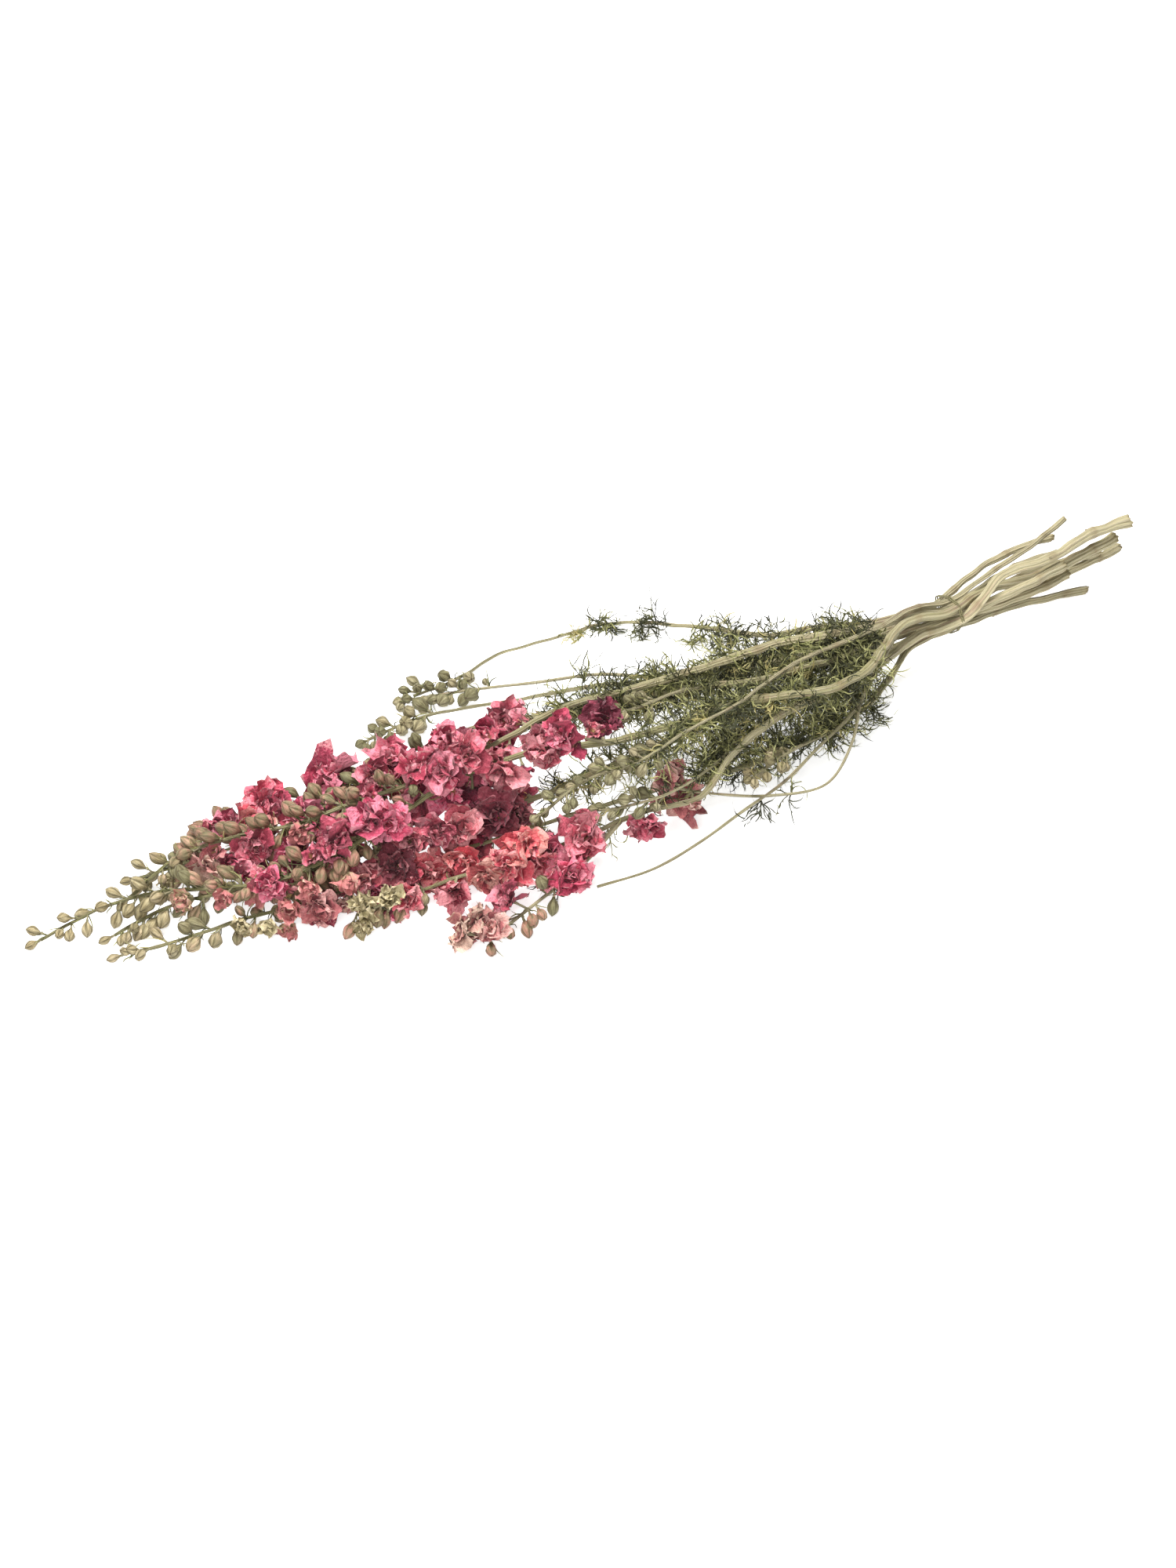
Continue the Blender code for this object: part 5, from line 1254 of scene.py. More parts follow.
def petal_finish():
    """Rose mixed to coral or to faded beige pink by the bloom and varied at random by patch, crumple and
    petal, with fine darker veins that run along the petal, a bleached ragged edge, a yellow-green foot on the
    inmost petals, and olive brown stamens. Painted shade darkens it to crimson in noise-drawn folds, towards
    the foot of each petal, most on the outer rings, and over the blooms deep in the bunch. A painted
    highlight brightens noise-drawn crests."""
    made = Finish("dried_petals", {"Roughness": 0.7, "Sheen Weight": 0.1})
    reach, across, tone = made.number("reach"), made.number("across"), made.number("tone")
    coral, pale, dark, ring = (made.number(name) for name in ("coral", "pale", "dark", "ring"))
    veins = (across * 5.0).joined(reach * 1.4, tone * 23.0).noise(2.4, 4.0)
    crumple = made.place().noise(620.0, 3.0)
    blotch = made.place().noise(210.0, 3.0)
    deep = pale.mix(coral.mix(colour(130, 10, 50), colour(180, 32, 56)), colour(170, 98, 96))
    bright = pale.mix(coral.mix(colour(240, 82, 120), colour(252, 104, 112)), colour(228, 168, 152))
    light = pale.mix(coral.mix(colour(252, 150, 172), colour(255, 168, 158)), colour(244, 214, 190))
    # Random tone by patch, crumple and petal, and painted shade towards the petal's foot and over the blooms
    # deep in the bunch.
    tone_and_shade = (blotch - 0.5) * 1.3 + (crumple - 0.5) * 0.8 + (tone - 0.5) * 1.3
    tone_and_shade = tone_and_shade + reach * 0.9 + 0.22 - dark * 0.7
    rose = tone_and_shade.step(0.0, 1.0).mix(deep, bright)
    # A painted highlight on noise-drawn crests, weaker towards the foot and over the blooms deep in the
    # bunch.
    painted_highlight = (crumple - 0.5) * 1.2 + (reach - 0.5) * 0.9 + (tone - 0.5) * 1.3 + 0.08 - dark * 0.5
    highlighted = (painted_highlight.step(0.05, 0.7) * 0.95).mix(rose, light)
    veined = (veins.step(0.53, 0.68) * 0.45).mix(highlighted, deep)
    edge = across**3.0 * 0.5 + reach**5.0 * 0.55 + (crumple - 0.5) * 0.9 - dark * 0.2
    edged = (edge.step(0.5, 0.85) * 0.6).mix(veined, pale.mix(colour(250, 184, 184), colour(226, 206, 166)))
    # Painted shade at the foot of each petal, most on the outer rings.
    shaded = ((1.0 - reach.step(0.0, 0.5)) * (1.0 - ring * 0.8) * 0.9).mix(edged, colour(90, 10, 40))
    footed = ((1.0 - reach.step(0.1, 0.6)) * ring.step(0.6, 1.0) * 0.9).mix(shaded, colour(222, 190, 112))
    # Painted shade over the blooms deep in the bunch.
    deep_bloom_shaded = (dark * 0.65).mix(footed, colour(86, 6, 34))
    made.feed("Base Color", made.number("heart").mix(deep_bloom_shaded, colour(140, 108, 52)))
    made.bump(veins * 0.5 + crumple * 1.2 + blotch * 0.3, 0.0012)
    return made.material


crowd = Crowd()
for axis in axes.values():
    thick = np.maximum(axis.radii[:-1], axis.radii[1:])
    crowd.add(axis.stem, list(zip(axis.line[:-1], axis.line[1:], thick)))
blooms = place_flowers(axes, crowd, "blooms", BLOOM_SPOTS, BLOOM_RODS, seed=11)
# Each bloom belongs to the node of its stem that has a corner nearest to its foot.
heads = {name: [] for name in frame["nodes"] if name.startswith("blooms_")}
corners = {}
for name in heads:
    mesh = frame["nodes"][name].data
    corners[name] = np.empty(len(mesh.vertices) * 3)
    mesh.vertices.foreach_get("co", corners[name])
    corners[name] = corners[name].reshape(-1, 3)
for bloom in blooms:
    foot = bloom.base + bloom.direction * STALK_GAP
    own = [name for name in heads if name.split("_")[1] == bloom.axis.stem[-2:]]
    heads[min(own, key=lambda name: np.linalg.norm(corners[name] - foot, axis=1).min())].append(bloom)
petal_material = petal_finish()
for name, members in heads.items():
    _, stem, number = name.split("_")
    draw = np.random.default_rng([7, int(stem), int(number)])
    parts = []
    for bloom in members:
        parts += [*bloom_petals(bloom, WHORLS, FADED, draw), stamens(bloom, draw)]
    new_piece(name + "_petals", parts, petal_material, node=name)


# Spent petals. Deep in the flowering stretch of each stem, smaller crumpled flowers are pressed against it
# behind the open blooms. They take the blooms' finish, a little more faded to dull beige pink, and with it
# the painted crimson shade.

SPENT_STEP = 13.0 * MM
SPENT_RADIUS = (6.0 * MM, 8.5 * MM)
SPENT_WHORLS = ((4, 1.2, 1.0, 40, 95), (4, 0.9, 0.8, 15, 65))
SPENT_FADED = 0.1
SPENT_LEAN = (0.0, 0.7)
# How far spent flowers and late buds stand off their stem, in mm.
CLOSE_STALK = (1.0, 4.0)
# They lie within this many pixels of an open bloom, in the picture.
SPENT_WITHIN = 30


def spent_flowers(axis, draw):
    """Small flowers up the flowering stretch of an axis, evenly spread and turned by the golden angle, each
    close to the stem and facing out and towards the tip."""
    start, end, length = axis.stretch(axis.plan["blooms"])
    placed = []
    for order, index in enumerate(np.linspace(start, end, max(2, round(length / SPENT_STEP))).astype(int)):
        turn = GOLDEN_ANGLE * order + draw.uniform(-0.5, 0.5)
        direction = outwards(axis, index, turn, draw.uniform(*SPENT_LEAN))
        size = draw.uniform(*SPENT_RADIUS)
        base = axis.line[index] + direction * (axis.radii[index] + draw.uniform(*CLOSE_STALK) * MM)
        hidden = nearness(base, [(x, y, SPENT_WITHIN) for x, y, _ in BLOOM_SPOTS]) > math.exp(-1)
        if base[2] > size * 0.5 and hidden:
            placed.append(Flower(axis, axis.fine[index], base, direction, size, GOLDEN_ANGLE * order))
    return placed


spent = []
for name in STEMS:
    draw = drawing(19, name)
    flowering = [axis for axis in axes.values() if axis.stem == name and "blooms" in axis.plan]
    own = [flower for axis in flowering for flower in spent_flowers(axis, draw)]
    spent += own
    if own:
        parts = []
        for flower in own:
            parts += bloom_petals(flower, SPENT_WHORLS, SPENT_FADED, draw)
            # Its stamens fell off. Their draws are still taken, so that the next flower keeps its own.
            stamens(flower, draw)
        new_piece(name + "_spent_petals", parts, petal_material)


# Florets. Half-open flowers below the buds: pale sepals still closed to a bell with a ragged mouth, a few
# petals inside, each on its stalk from the stem.

FLORET_RODS = ((0.2, 0.4, 0.64, 1.2, 0.4, 0.0),)
FLORET_SPOTS = [
    (479, 1095, 6.5), (430, 1103, 6.5), (444, 1119, 7.0), (451, 1070, 6.5), (394, 1130, 6.5),
    (371, 1159, 6.5), (240, 1102, 6.5), (237, 1150, 7.0), (496, 1146, 6.5), (464, 1176, 6.5),
    (464, 1155, 6.5), (390, 1180, 6.5), (342, 1178, 5.5), (310, 1180, 6.0), (289, 1141, 5.5),
    (505, 1003, 6.0), (349, 1055, 6.0), (384, 1060, 6.0), (350, 1076, 5.5), (505, 1084, 5.5),
    (639, 1181, 6.0), (326, 1140, 5.5), (367, 1181, 5.5), (214, 1120, 5.5),
]
FLORET_WHORLS = (
    (5, 1.8, 1.5, 50, -2),
    (5, 1.7, 1.2, 34, 2),
    (5, 1.3, 0.9, 20, 24),
)
# Where the picture shows greenish cream florets instead of beige pink ones: column, row, reach in pixels.
# Left of CREAM_COLUMN all turn cream, over CREAM_FADE pixels.
CREAM_SPOTS = [(342, 1180, 26), (468, 1165, 22), (496, 1146, 20), (310, 1180, 20), (272, 1186, 22)]
CREAM_COLUMN = 262
CREAM_FADE = 50


def floret_parts(floret, draw):
    """The sepals and petals of one floret. Its petals start leaning out and end straight, which is a bell."""
    left = (CREAM_COLUMN - picture_point(floret.base)[0]) / CREAM_FADE
    cream = float(np.clip(max(nearness(floret.base, CREAM_SPOTS), left) + draw.normal(0.0, 0.15), 0.0, 1.0))
    return petal_rings(floret, FLORET_WHORLS, draw, pale=cream)


def floret_finish():
    """Green cream at the foot, through beige, to a pink flush and a pale ragged edge, with fine darker veins
    along each sepal. The petals inside turn browner towards their foot, partly their own colour and partly
    painted shade inside the bell."""
    made = Finish("half_open_sepals", {"Roughness": 0.7})
    reach, across, tone = made.number("reach"), made.number("across"), made.number("tone")
    veins = (across * 5.0).joined(reach * 1.2, tone * 31.0).noise(2.0, 4.0)
    blotch = made.place().noise(420.0, 3.0)
    mottle = ((blotch - 0.5) * 1.6 + tone * 0.5 + 0.25).step(0.0, 1.0)
    cream = mottle.mix(colour(188, 174, 126), colour(238, 224, 180))
    flush = (reach * 0.9 + (blotch - 0.5) * 1.4 - made.number("pale") * 1.1 + 0.2).step(0.1, 0.75)
    pinked = (flush * 0.85).mix(cream, colour(222, 116, 128))
    veined = (veins.step(0.52, 0.68) * 0.45).mix(pinked, colour(140, 96, 72))
    # Inner petals browner towards the foot: partly their own colour, partly painted shade inside the bell.
    inside = (made.number("ring").step(0.4, 1.0) * 0.4 * (1.0 - reach)).mix(veined, colour(120, 76, 44))
    edge = (across**3.0 * 0.4 + reach**5.0 * 0.5 + (blotch - 0.5) * 0.8).step(0.4, 0.85)
    made.feed("Base Color", (edge * 0.7).mix(inside, colour(240, 218, 186)))
    made.bump(veins + blotch * 0.6, 0.0008)
    return made.material


florets = place_flowers(axes, crowd, "florets", FLORET_SPOTS, FLORET_RODS, seed=23)
floret_material = floret_finish()
for name in STEMS:
    own = grown_on(name, florets)
    if own:
        draw = drawing(13, name)
        parts = [part for floret in own for part in floret_parts(floret, draw)]
        new_piece(name + "_florets", parts, floret_material)


# Buds. Closed flowers up each tip, of five sepals that meet in seams, with a narrow spur towards the stem
# and a blunt, darker tip. They shrank as they dried, so the sepals are creased lengthwise.

BUD_ROWS = 11
BUD_SIDES = 15
# How wide a bud is, as shares of its girth, at these shares of its length.
BUD_OUTLINE = (
    [0, 0.08, 0.2, 0.36, 0.5, 0.64, 0.78, 0.9, 1.0],
    [0.16, 0.22, 0.46, 0.8, 0.98, 1.0, 0.8, 0.45, 0.06],
)
SEAM_DEPTH = 0.1
CREASE_DEPTH = 0.05
# The first bud of a tip is this long, and the last shorter by this share. The room that it takes up and its
# shape are this wide, as shares of its length, and in crowded tips ROUNDER times that.
BUD_LENGTH = 12.0 * MM
BUD_SHRINK = 0.38
BUD_GIRTH = 0.58
BUD_FULLNESS = 0.6
ROUNDER = 1.25
# Its stalk in mm, and how far it and a frond lean towards the tip, in radians. Each is tried so often.
BUD_STALK = (1.5, 4.0)
SIDE_LEAN = (0.5, 1.0)
SMALL_ATTEMPTS = 60
# Where a bud's body starts and ends, as shares of its length, and the radius of a late one's.
BUD_BODY = (0.3, 0.7)
LATE_RADIUS = 0.3
# Stems whose tips are crowded: besides the placed buds, smaller ones fill up between them. They are rounder.
CROWDED = {
    "stem_05": 0.9, "shoot_05_twin": 0.9, "stem_10": 0.78, "shoot_02_top": 0.75,
    "shoot_07_pale": 0.78, "shoot_08_grey": 0.78,
}
# How sandy the buds are of tips that aren't grey green, from 0 to 1, and the picture columns over which the
# left tips turn sandy.
SANDY = {"stem_05": 0.25, "shoot_07_pale": 0.5}
SANDY_COLUMN = 330
SANDY_FADE = 250
# Where buds are blushed pink: picture column, row and reach in pixels. BLUSH is how strongly.
BLUSH = 1.4
BLUSH_SPOTS = [(400, 1110, 130), (300, 1060, 90), (640, 1190, 80), (440, 1150, 90), (500, 1050, 60)]
# The buds that fill up crowded tips: how far apart, how long, how they lean, and how often each is tried.
LATE_BUD_STEP = 6.5 * MM
LATE_BUD = (5.5 * MM, 7.5 * MM)
LATE_LEAN = (0.2, 0.8)
LATE_ATTEMPTS = 12
# Buds that are about to open stand among the florets, and among the blooms of the left half: how far apart,
# up to which picture column, and how long.
RIPE_BUDS = {"florets": (5.5 * MM, PICTURE_WIDTH), "blooms": (8.0 * MM, 545)}
RIPE_BUD = (9.0 * MM, 12.5 * MM)


def spread_columns(span):
    first, last, count = span
    return [first + (last - first) * (k + 0.5) / count for k in range(count)]


def bud_rod(base, direction, size, radius):
    """The rod that a bud fills."""
    low, high = (base + direction * size * share for share in BUD_BODY)
    return low, high, radius


def place_buds(axes, crowd, seed):
    """Buds up each tip, smaller towards the end, turned by the golden angle, with the last one on the tip."""
    draw = random.Random(seed)
    placed = []
    for axis in axes.values():
        span = axis.plan.get("buds", (0, 0, 0))
        for order, column in enumerate(spread_columns(span)):
            index = min(axis.at(column), len(axis.line) - 2)
            size = BUD_LENGTH * (1.05 - BUD_SHRINK * (order + 0.5) / span[2])
            for attempt in range(SMALL_ATTEMPTS):
                angle = GOLDEN_ANGLE * order + draw.uniform(-0.4, 0.4) + attempt * 0.9
                direction = outwards(axis, index, angle, draw.uniform(*SIDE_LEAN))
                stalk = axis.radii[index] + draw.uniform(*BUD_STALK) * MM
                if order == span[2] - 1:
                    index = len(axis.line) - 2
                    direction = unit(axis.direction(index) + 0.05 * attempt * direction)
                    stalk = np.linalg.norm(axis.line[-1] - axis.line[-2]) + 1.0 * MM
                root = axis.line[index]
                base = root + direction * stalk
                stalk_rod = (root + direction * axis.radii[index], base, STALK_RADIUS)
                rods = [stalk_rod, bud_rod(base, direction, size, size * BUD_GIRTH / 2)]
                if crowd.clear(axis.stem, rods):
                    crowd.add(axis.stem, rods)
                    placed.append(Flower(axis, axis.fine[index], base, direction, size))
                    break
    return placed


def late_buds(axis, kind, step, sizes, crowd, draw):
    """More buds along the stretch of an axis that bears that kind, turned by the golden angle, where there
    is room."""
    start, end, length = axis.stretch(axis.plan[kind][:2])
    placed = []
    for order, index in enumerate(np.linspace(start, end, round(length / step)).astype(int)):
        size = draw.uniform(*sizes)
        for attempt in range(LATE_ATTEMPTS):
            direction = outwards(axis, index, GOLDEN_ANGLE * order + attempt * 0.7, draw.uniform(*LATE_LEAN))
            base = axis.line[index] + direction * (axis.radii[index] + draw.uniform(*CLOSE_STALK) * MM)
            body = [bud_rod(base, direction, size, size * LATE_RADIUS)]
            if crowd.clear(axis.stem, body):
                crowd.add(axis.stem, body)
                placed.append(Flower(axis, axis.fine[index], base, direction, size))
                break
    return placed


def bud_part(bud, draw):
    """A bud: rings round a slightly bent line. Their radius rises as a sine from the spur, is widest past the
    middle and closes bluntly, and five seams pinch it by a sharpened cosine."""
    t = np.linspace(0.0, 1.0, BUD_ROWS)
    length = bud.size * (CROWDED.get(bud.axis.name, 1.0) if bud.size > LATE_BUD[1] else 1.0)
    rounder = ROUNDER if bud.axis.name in CROWDED else 1.0
    girth = length * BUD_FULLNESS * rounder / 2 * draw.uniform(0.92, 1.12)
    outline = np.interp(t, *BUD_OUTLINE)
    turns = math.tau * np.arange(BUD_SIDES) / BUD_SIDES + draw.uniform(0, 1)
    seams = 1 - SEAM_DEPTH * np.abs(np.cos(2.5 * (turns + 0.5 * t[:, None]))) ** 5
    creases = 1 + CREASE_DEPTH * np.sin(7 * turns + 5 * t[:, None] + draw.uniform(0, math.tau))
    first, second = facing(bud.direction)
    bend = first * draw.uniform(-0.08, 0.08) + second * draw.uniform(-0.08, 0.08)
    path = bud.base + (bud.direction * t[:, None] * 1.04 + bend * (t[:, None] ** 2)) * length
    radii = girth * outline[:, None] * seams * creases
    flat = 1 + draw.uniform(-0.14, 0.06) * np.cos(2 * turns)
    points = rings_along(path[None], (radii * flat)[None], turns)[0]
    raise_to(points, TABLE_GAP)
    left = (SANDY_COLUMN - picture_point(bud.base)[0]) / SANDY_FADE
    sandy = float(np.clip(left, 0, 1)) + SANDY.get(bud.axis.name, 0.0)
    blush = min(1.0, BLUSH * nearness(bud.base, BLUSH_SPOTS))
    return tubes(
        points, around_x=np.cos(turns), around_y=np.sin(turns), along=t[:, None],
        seam=1 - (1 - seams) / SEAM_DEPTH, tone=draw.uniform(0, 1), sandy=sandy, blush=blush,
    )


def bud_finish():
    """Grey green, or sandy on the furthest tips, with olive veins along the bud, dark seams between the
    sepals, some blushed pink, a green neck and a small brown tip."""
    made = Finish("closed_bud", {"Roughness": 0.66})
    along, tone = made.number("along"), made.number("tone")
    place = (made.number("around_x") * 3.0).joined(made.number("around_y") * 3.0, along * 1.3)
    apart = made.place().stretched(30.0, 30.0, 30.0)
    shifted = place.node("VectorMath", {"operation": "ADD"}, {0: place, 1: apart})
    veins = shifted.noise(1.9, 4.0)
    blotch = made.place().noise(260.0, 3.0)
    sandy = (made.number("sandy") + (tone - 0.5) * 0.6 + 0.12).step(0.1, 0.8)
    body = sandy.mix(colour(144, 139, 99), colour(190, 172, 128))
    light = sandy.mix(colour(190, 182, 142), colour(214, 200, 160))
    toned = ((blotch - 0.5) * 1.8 + tone * 0.6).step(0.0, 0.9).mix(body, light)
    veined = (veins.step(0.45, 0.6) * 0.5).mix(toned, sandy.mix(colour(92, 84, 50), colour(128, 110, 68)))
    blush = (made.number("blush") + (tone - 0.6) * 0.8).step(0.2, 0.9)
    blushed = (blush * (blotch - 0.3).step(0.0, 0.35) * 0.6).mix(veined, colour(208, 122, 116))
    seamed = ((1.0 - made.number("seam").step(0.1, 0.85)) * 0.85).mix(blushed, colour(94, 84, 50))
    necked = (1.0 - along.step(0.0, 0.2)).mix(seamed, colour(126, 126, 78))
    made.feed("Base Color", along.step(0.95, 1.0).mix(necked, colour(104, 84, 52)))
    made.bump(veins * 1.0 + blotch * 0.5, 0.0012)
    return made.material


buds = place_buds(axes, crowd, seed=37)
late_draw = np.random.default_rng(47)
filled = copy.deepcopy(crowd)
for axis in axes.values():
    for kind, (step, last_column) in RIPE_BUDS.items():
        if kind in axis.plan:
            ripe = late_buds(axis, kind, step, RIPE_BUD, filled, late_draw)
            buds += [bud for bud in ripe if picture_point(bud.base)[0] < last_column]
    if axis.name in CROWDED:
        buds += late_buds(axis, "buds", LATE_BUD_STEP, LATE_BUD, filled, late_draw)
bud_material = bud_finish()
for name in STEMS:
    own = grown_on(name, buds)
    if own:
        draw = drawing(17, name)
        new_piece(name + "_buds", [bud_part(bud, draw) for bud in own], bud_material)
for name in STEMS:
    groups = (([*blooms, *spent], BLOOM_STALK), ([*florets, *buds], SMALL_STALK))
    parts = [stalks(grown_on(name, group), thick) for group, thick in groups if grown_on(name, group)]
    new_piece(name + "_stalks", parts, cane_material)


# Leaves. Larkspur leaves are cut to the rib, over and over, into threads less than a millimetre wide. Dried,
# they shrank to dense curly tangles along the lower stems. Every frond of the model is here, among others.

LEAF_STEP = 3.2 * MM
# The stretches of each stem and shoot, as picture columns, where the tangle is thick.
LEAFY = {
    "stem_01": [(1122, 900)],
    "stem_02": [(1120, 760)],
    "stem_03": [(1125, 700)],
    "stem_04": [(1118, 985), (965, 895), (842, 812), (782, 744)],
    "stem_05": [(1115, 905), (880, 770)],
    "stem_06": [(1105, 925)],
    "stem_07": [(1120, 915)],
    "stem_08": [(1125, 720)],
    "stem_09": [(1120, 690)],
    "stem_10": [(1125, 1080), (960, 820)],
    "shoot_01_low": [(1120, 1060)],
    "shoot_07_pale": [(1080, 1015)],
    "shoot_08_grey": [(955, 890)],
}
# How far leaves lean along their stem, in radians. The sprigs of the top stem lie along it.
LEAN = (0.1, 1.2)
SPRIG_LEAN = {"stem_04": (0.9, 1.4)}
# How far leaves are drawn down and in towards the middle of the bunch, against their own way. The pull
# inwards is full at REACH_IN from the mean of the stems over a stretch of MIDDLE_SPAN to both sides.
DROOP = 0.6
DRAWN_IN = 1.0
REACH_IN = 40.0 * MM
MIDDLE_SPAN = 12.0 * MM
LEAF_SPREAD = (0.75, 1.2)
# Each leaf's lobes, and the points along a lobe where finer threads fork off it. The least and the most
# length in mm of its rib, lobes and threads, and of a bract.
LOBES = 5
FORKS = (1, 2, 3, 5)
LEAF_RIB = (2.0, 6.0)
LOBE_LENGTH = (9.0, 18.0)
FORK_LENGTH = (7.0, 14.0)
BRACT_LENGTH = (6.0, 13.0)
# How far they stray from the way of what they grow on, and how far lobes and threads curl, in radians.
FAN_OFF = 0.55
FORK_OFF = 0.5
BRACT_OFF = 0.45
LOBE_CURL = (0.4, 2.2)
FORK_CURL = (0.4, 2.4)
# The points along a rib, and along a lobe or thread.
RIB_POINTS = 4
THREAD_POINTS = 7
RIB_THICK = 0.5 * MM
LOBE_THICK = 0.36 * MM
BLADE_WIDE = 0.75 * MM
BRACT_THICK = 0.4 * MM
# The fronds that the solids share: a rib in mm, shorter by RIB_SHRINK with each attempt, and threads from its
# end. These lean out steeply and flatly by turns, in radians, and are shortened by THREAD_SHRINK until they
# have room.
RIB_LENGTH = (5.0, 12.0)
RIB_SHRINK = 0.012
THREAD_LENGTH = (11.0, 19.0)
THREAD_SHRINK = 0.75
SHORTEST_THREAD = 3.0 * MM
STEEP_THREAD = (0.6, 1.0)
FLAT_THREAD = (1.15, 1.75)
FROND_THREADS = 6
HUB_RADIUS = 1.0 * MM
THREAD_RADIUS = 0.4 * MM


def place_fronds(axes, crowd, seed):
    """Fronds up the leafy stretch of each axis, with the room that their threads take up. A thread that would
    touch another stem is shortened."""
    draw = random.Random(seed)
    placed = []
    for axis in axes.values():
        for order, column in enumerate(spread_columns(axis.plan.get("fronds", (0, 0, 0)))):
            index = axis.at(column)
            for attempt in range(SMALL_ATTEMPTS):
                angle = GOLDEN_ANGLE * order + draw.uniform(-0.5, 0.5) + attempt * 0.8
                direction = outwards(axis, index, angle, draw.uniform(*SIDE_LEAN))
                root = axis.line[index]
                rib_length = draw.uniform(*RIB_LENGTH) * MM * (1.0 - RIB_SHRINK * attempt)
                hub = root + direction * (axis.radii[index] + rib_length)
                rib = [(root + direction * axis.radii[index], hub, HUB_RADIUS)]
                if crowd.clear(axis.stem, rib):
                    break
            else:
                continue
            crowd.add(axis.stem, rib)
            first, second = facing(direction)
            for thread in range(FROND_THREADS):
                turn = math.tau * (thread + 0.5) / FROND_THREADS
                out = first * math.cos(turn) + second * math.sin(turn)
                lean = draw.uniform(*(STEEP_THREAD if thread % 2 else FLAT_THREAD))
                way = out * math.sin(lean) + direction * math.cos(lean)
                length = draw.uniform(*THREAD_LENGTH) * MM
                while length > SHORTEST_THREAD:
                    rod = [(hub + way * HUB_RADIUS, hub + way * length, THREAD_RADIUS)]
                    if crowd.clear(axis.stem, rod):
                        crowd.add(axis.stem, rod)
                        break
                    length *= THREAD_SHRINK
            placed.append(Flower(axis, axis.fine[index], root, unit(hub - root), rib_length))
    return placed


def curling(starts, ways, lengths, curls, rings, draw):
    """Paths that start one way and keep turning about their own axis, with a slow wobble: each step's way is
    the start's, plus the curl times how far along it is, made a unit again."""
    count = len(starts)
    t = np.linspace(0, 1, rings)[None, :, None]
    side = normalised(np.cross(ways, draw.normal(0, 1, (count, 3))))
    other = np.cross(ways, side)
    turn = curls[:, None, None] * t
    high, phase = draw.normal(0, 0.35, (count, 1, 1)), draw.uniform(0, math.tau, (count, 1, 1))
    wobble = high * np.sin(math.tau * t * 1.2 + phase)
    step = ways[:, None] * np.cos(turn) + side[:, None] * np.sin(turn) + other[:, None] * wobble
    step = normalised(step) * (lengths[:, None, None] / (rings - 1))
    paths = starts[:, None] + np.cumsum(step, axis=1) - step[:, :1]
    return paths, normalised(step)


def threads(paths, thick, tone, reach, draw):
    """Three-sided tapering tubes along the paths, held above the table."""
    count, rings = paths.shape[:2]
    raise_to(paths, thick + TABLE_GAP)
    radii = thick * np.interp(np.linspace(0, 1, rings), [0, 0.6, 1], [1, 0.85, 0.3])
    radii = np.broadcast_to(radii[None, :, None], (count, rings, 1)) * draw.uniform(0.8, 1.25, (count, 1, 1))
    points = rings_along(paths, radii, math.tau * np.arange(3) / 3)
    start, end = reach
    along = np.linspace(start, end, rings)[:, None]
    return tubes(points, tone=tone[:, None, None], reach=along)


def blades(paths, wide, tone, reach, draw):
    """Flat threads along the paths: two edges, a width apart, square to the path and slowly twisting."""
    count, rings = paths.shape[:2]
    raise_to(paths, wide + TABLE_GAP)
    ahead = normalised(np.gradient(paths, axis=1))
    first = normalised(np.cross(ahead, draw.normal(0, 1, (count, 1, 3))))
    second = np.cross(ahead, first)
    t = np.linspace(0, 1, rings)[:, None]
    twist = draw.uniform(0, math.tau, (count, 1, 1)) + draw.normal(0, 1.4, (count, 1, 1)) * t
    taper = np.interp(t, [0, 0.55, 1], [1, 0.85, 0.2])
    edge = (first * np.cos(twist) + second * np.sin(twist)) * wide / 2 * taper
    points = paths[:, :, None] + edge[:, :, None] * np.array([-1.0, 1.0])[:, None]
    start, end = reach
    faces = [net(rings, 2, count, closed=False)]
    return Part(points, faces, tone=tone[:, None, None], reach=start + (end - start) * t)


def leaf_parts(roots, ways, spread, draw):
    """Leaves on their stem: from each root a rib, from its end five lobes that fan out, and from along each
    lobe finer flat threads, all curling tightly."""
    tone = draw.uniform(0, 1, len(roots))
    rib_length = draw.uniform(*LEAF_RIB, len(roots)) * MM * spread
    ribs, rib_ways = curling(roots, ways, rib_length, draw.normal(0, 0.6, len(roots)), RIB_POINTS, draw)
    hub = np.repeat(ribs[:, -1], LOBES, axis=0)
    way = np.repeat(rib_ways[:, -1], LOBES, axis=0)
    size = np.repeat(spread, LOBES) * MM
    fan = normalised(way * 0.9 + draw.normal(0, FAN_OFF, way.shape))
    curl = draw.choice([-1, 1], len(hub)) * draw.uniform(*LOBE_CURL, len(hub))
    lobe_length = draw.uniform(*LOBE_LENGTH, len(hub)) * size
    lobe_paths, lobe_ways = curling(hub, fan, lobe_length, curl, THREAD_POINTS, draw)
    lobe_tone = np.clip(np.repeat(tone, LOBES) + draw.normal(0, 0.15, len(hub)), 0, 1)
    parts = [
        threads(ribs, RIB_THICK, tone, (0.0, 0.2), draw),
        threads(lobe_paths, LOBE_THICK, lobe_tone, (0.2, 0.9), draw),
    ]
    for at in FORKS:
        fork = normalised(lobe_ways[:, at] + draw.normal(0, FORK_OFF, fan.shape))
        length = draw.uniform(*FORK_LENGTH, len(hub)) * size
        curl = draw.choice([-1, 1], len(hub)) * draw.uniform(*FORK_CURL, len(hub))
        fine, _ = curling(lobe_paths[:, at], fork, length, curl, THREAD_POINTS, draw)
        parts.append(blades(fine, BLADE_WIDE, lobe_tone, (0.4, 1.0), draw))
    return parts


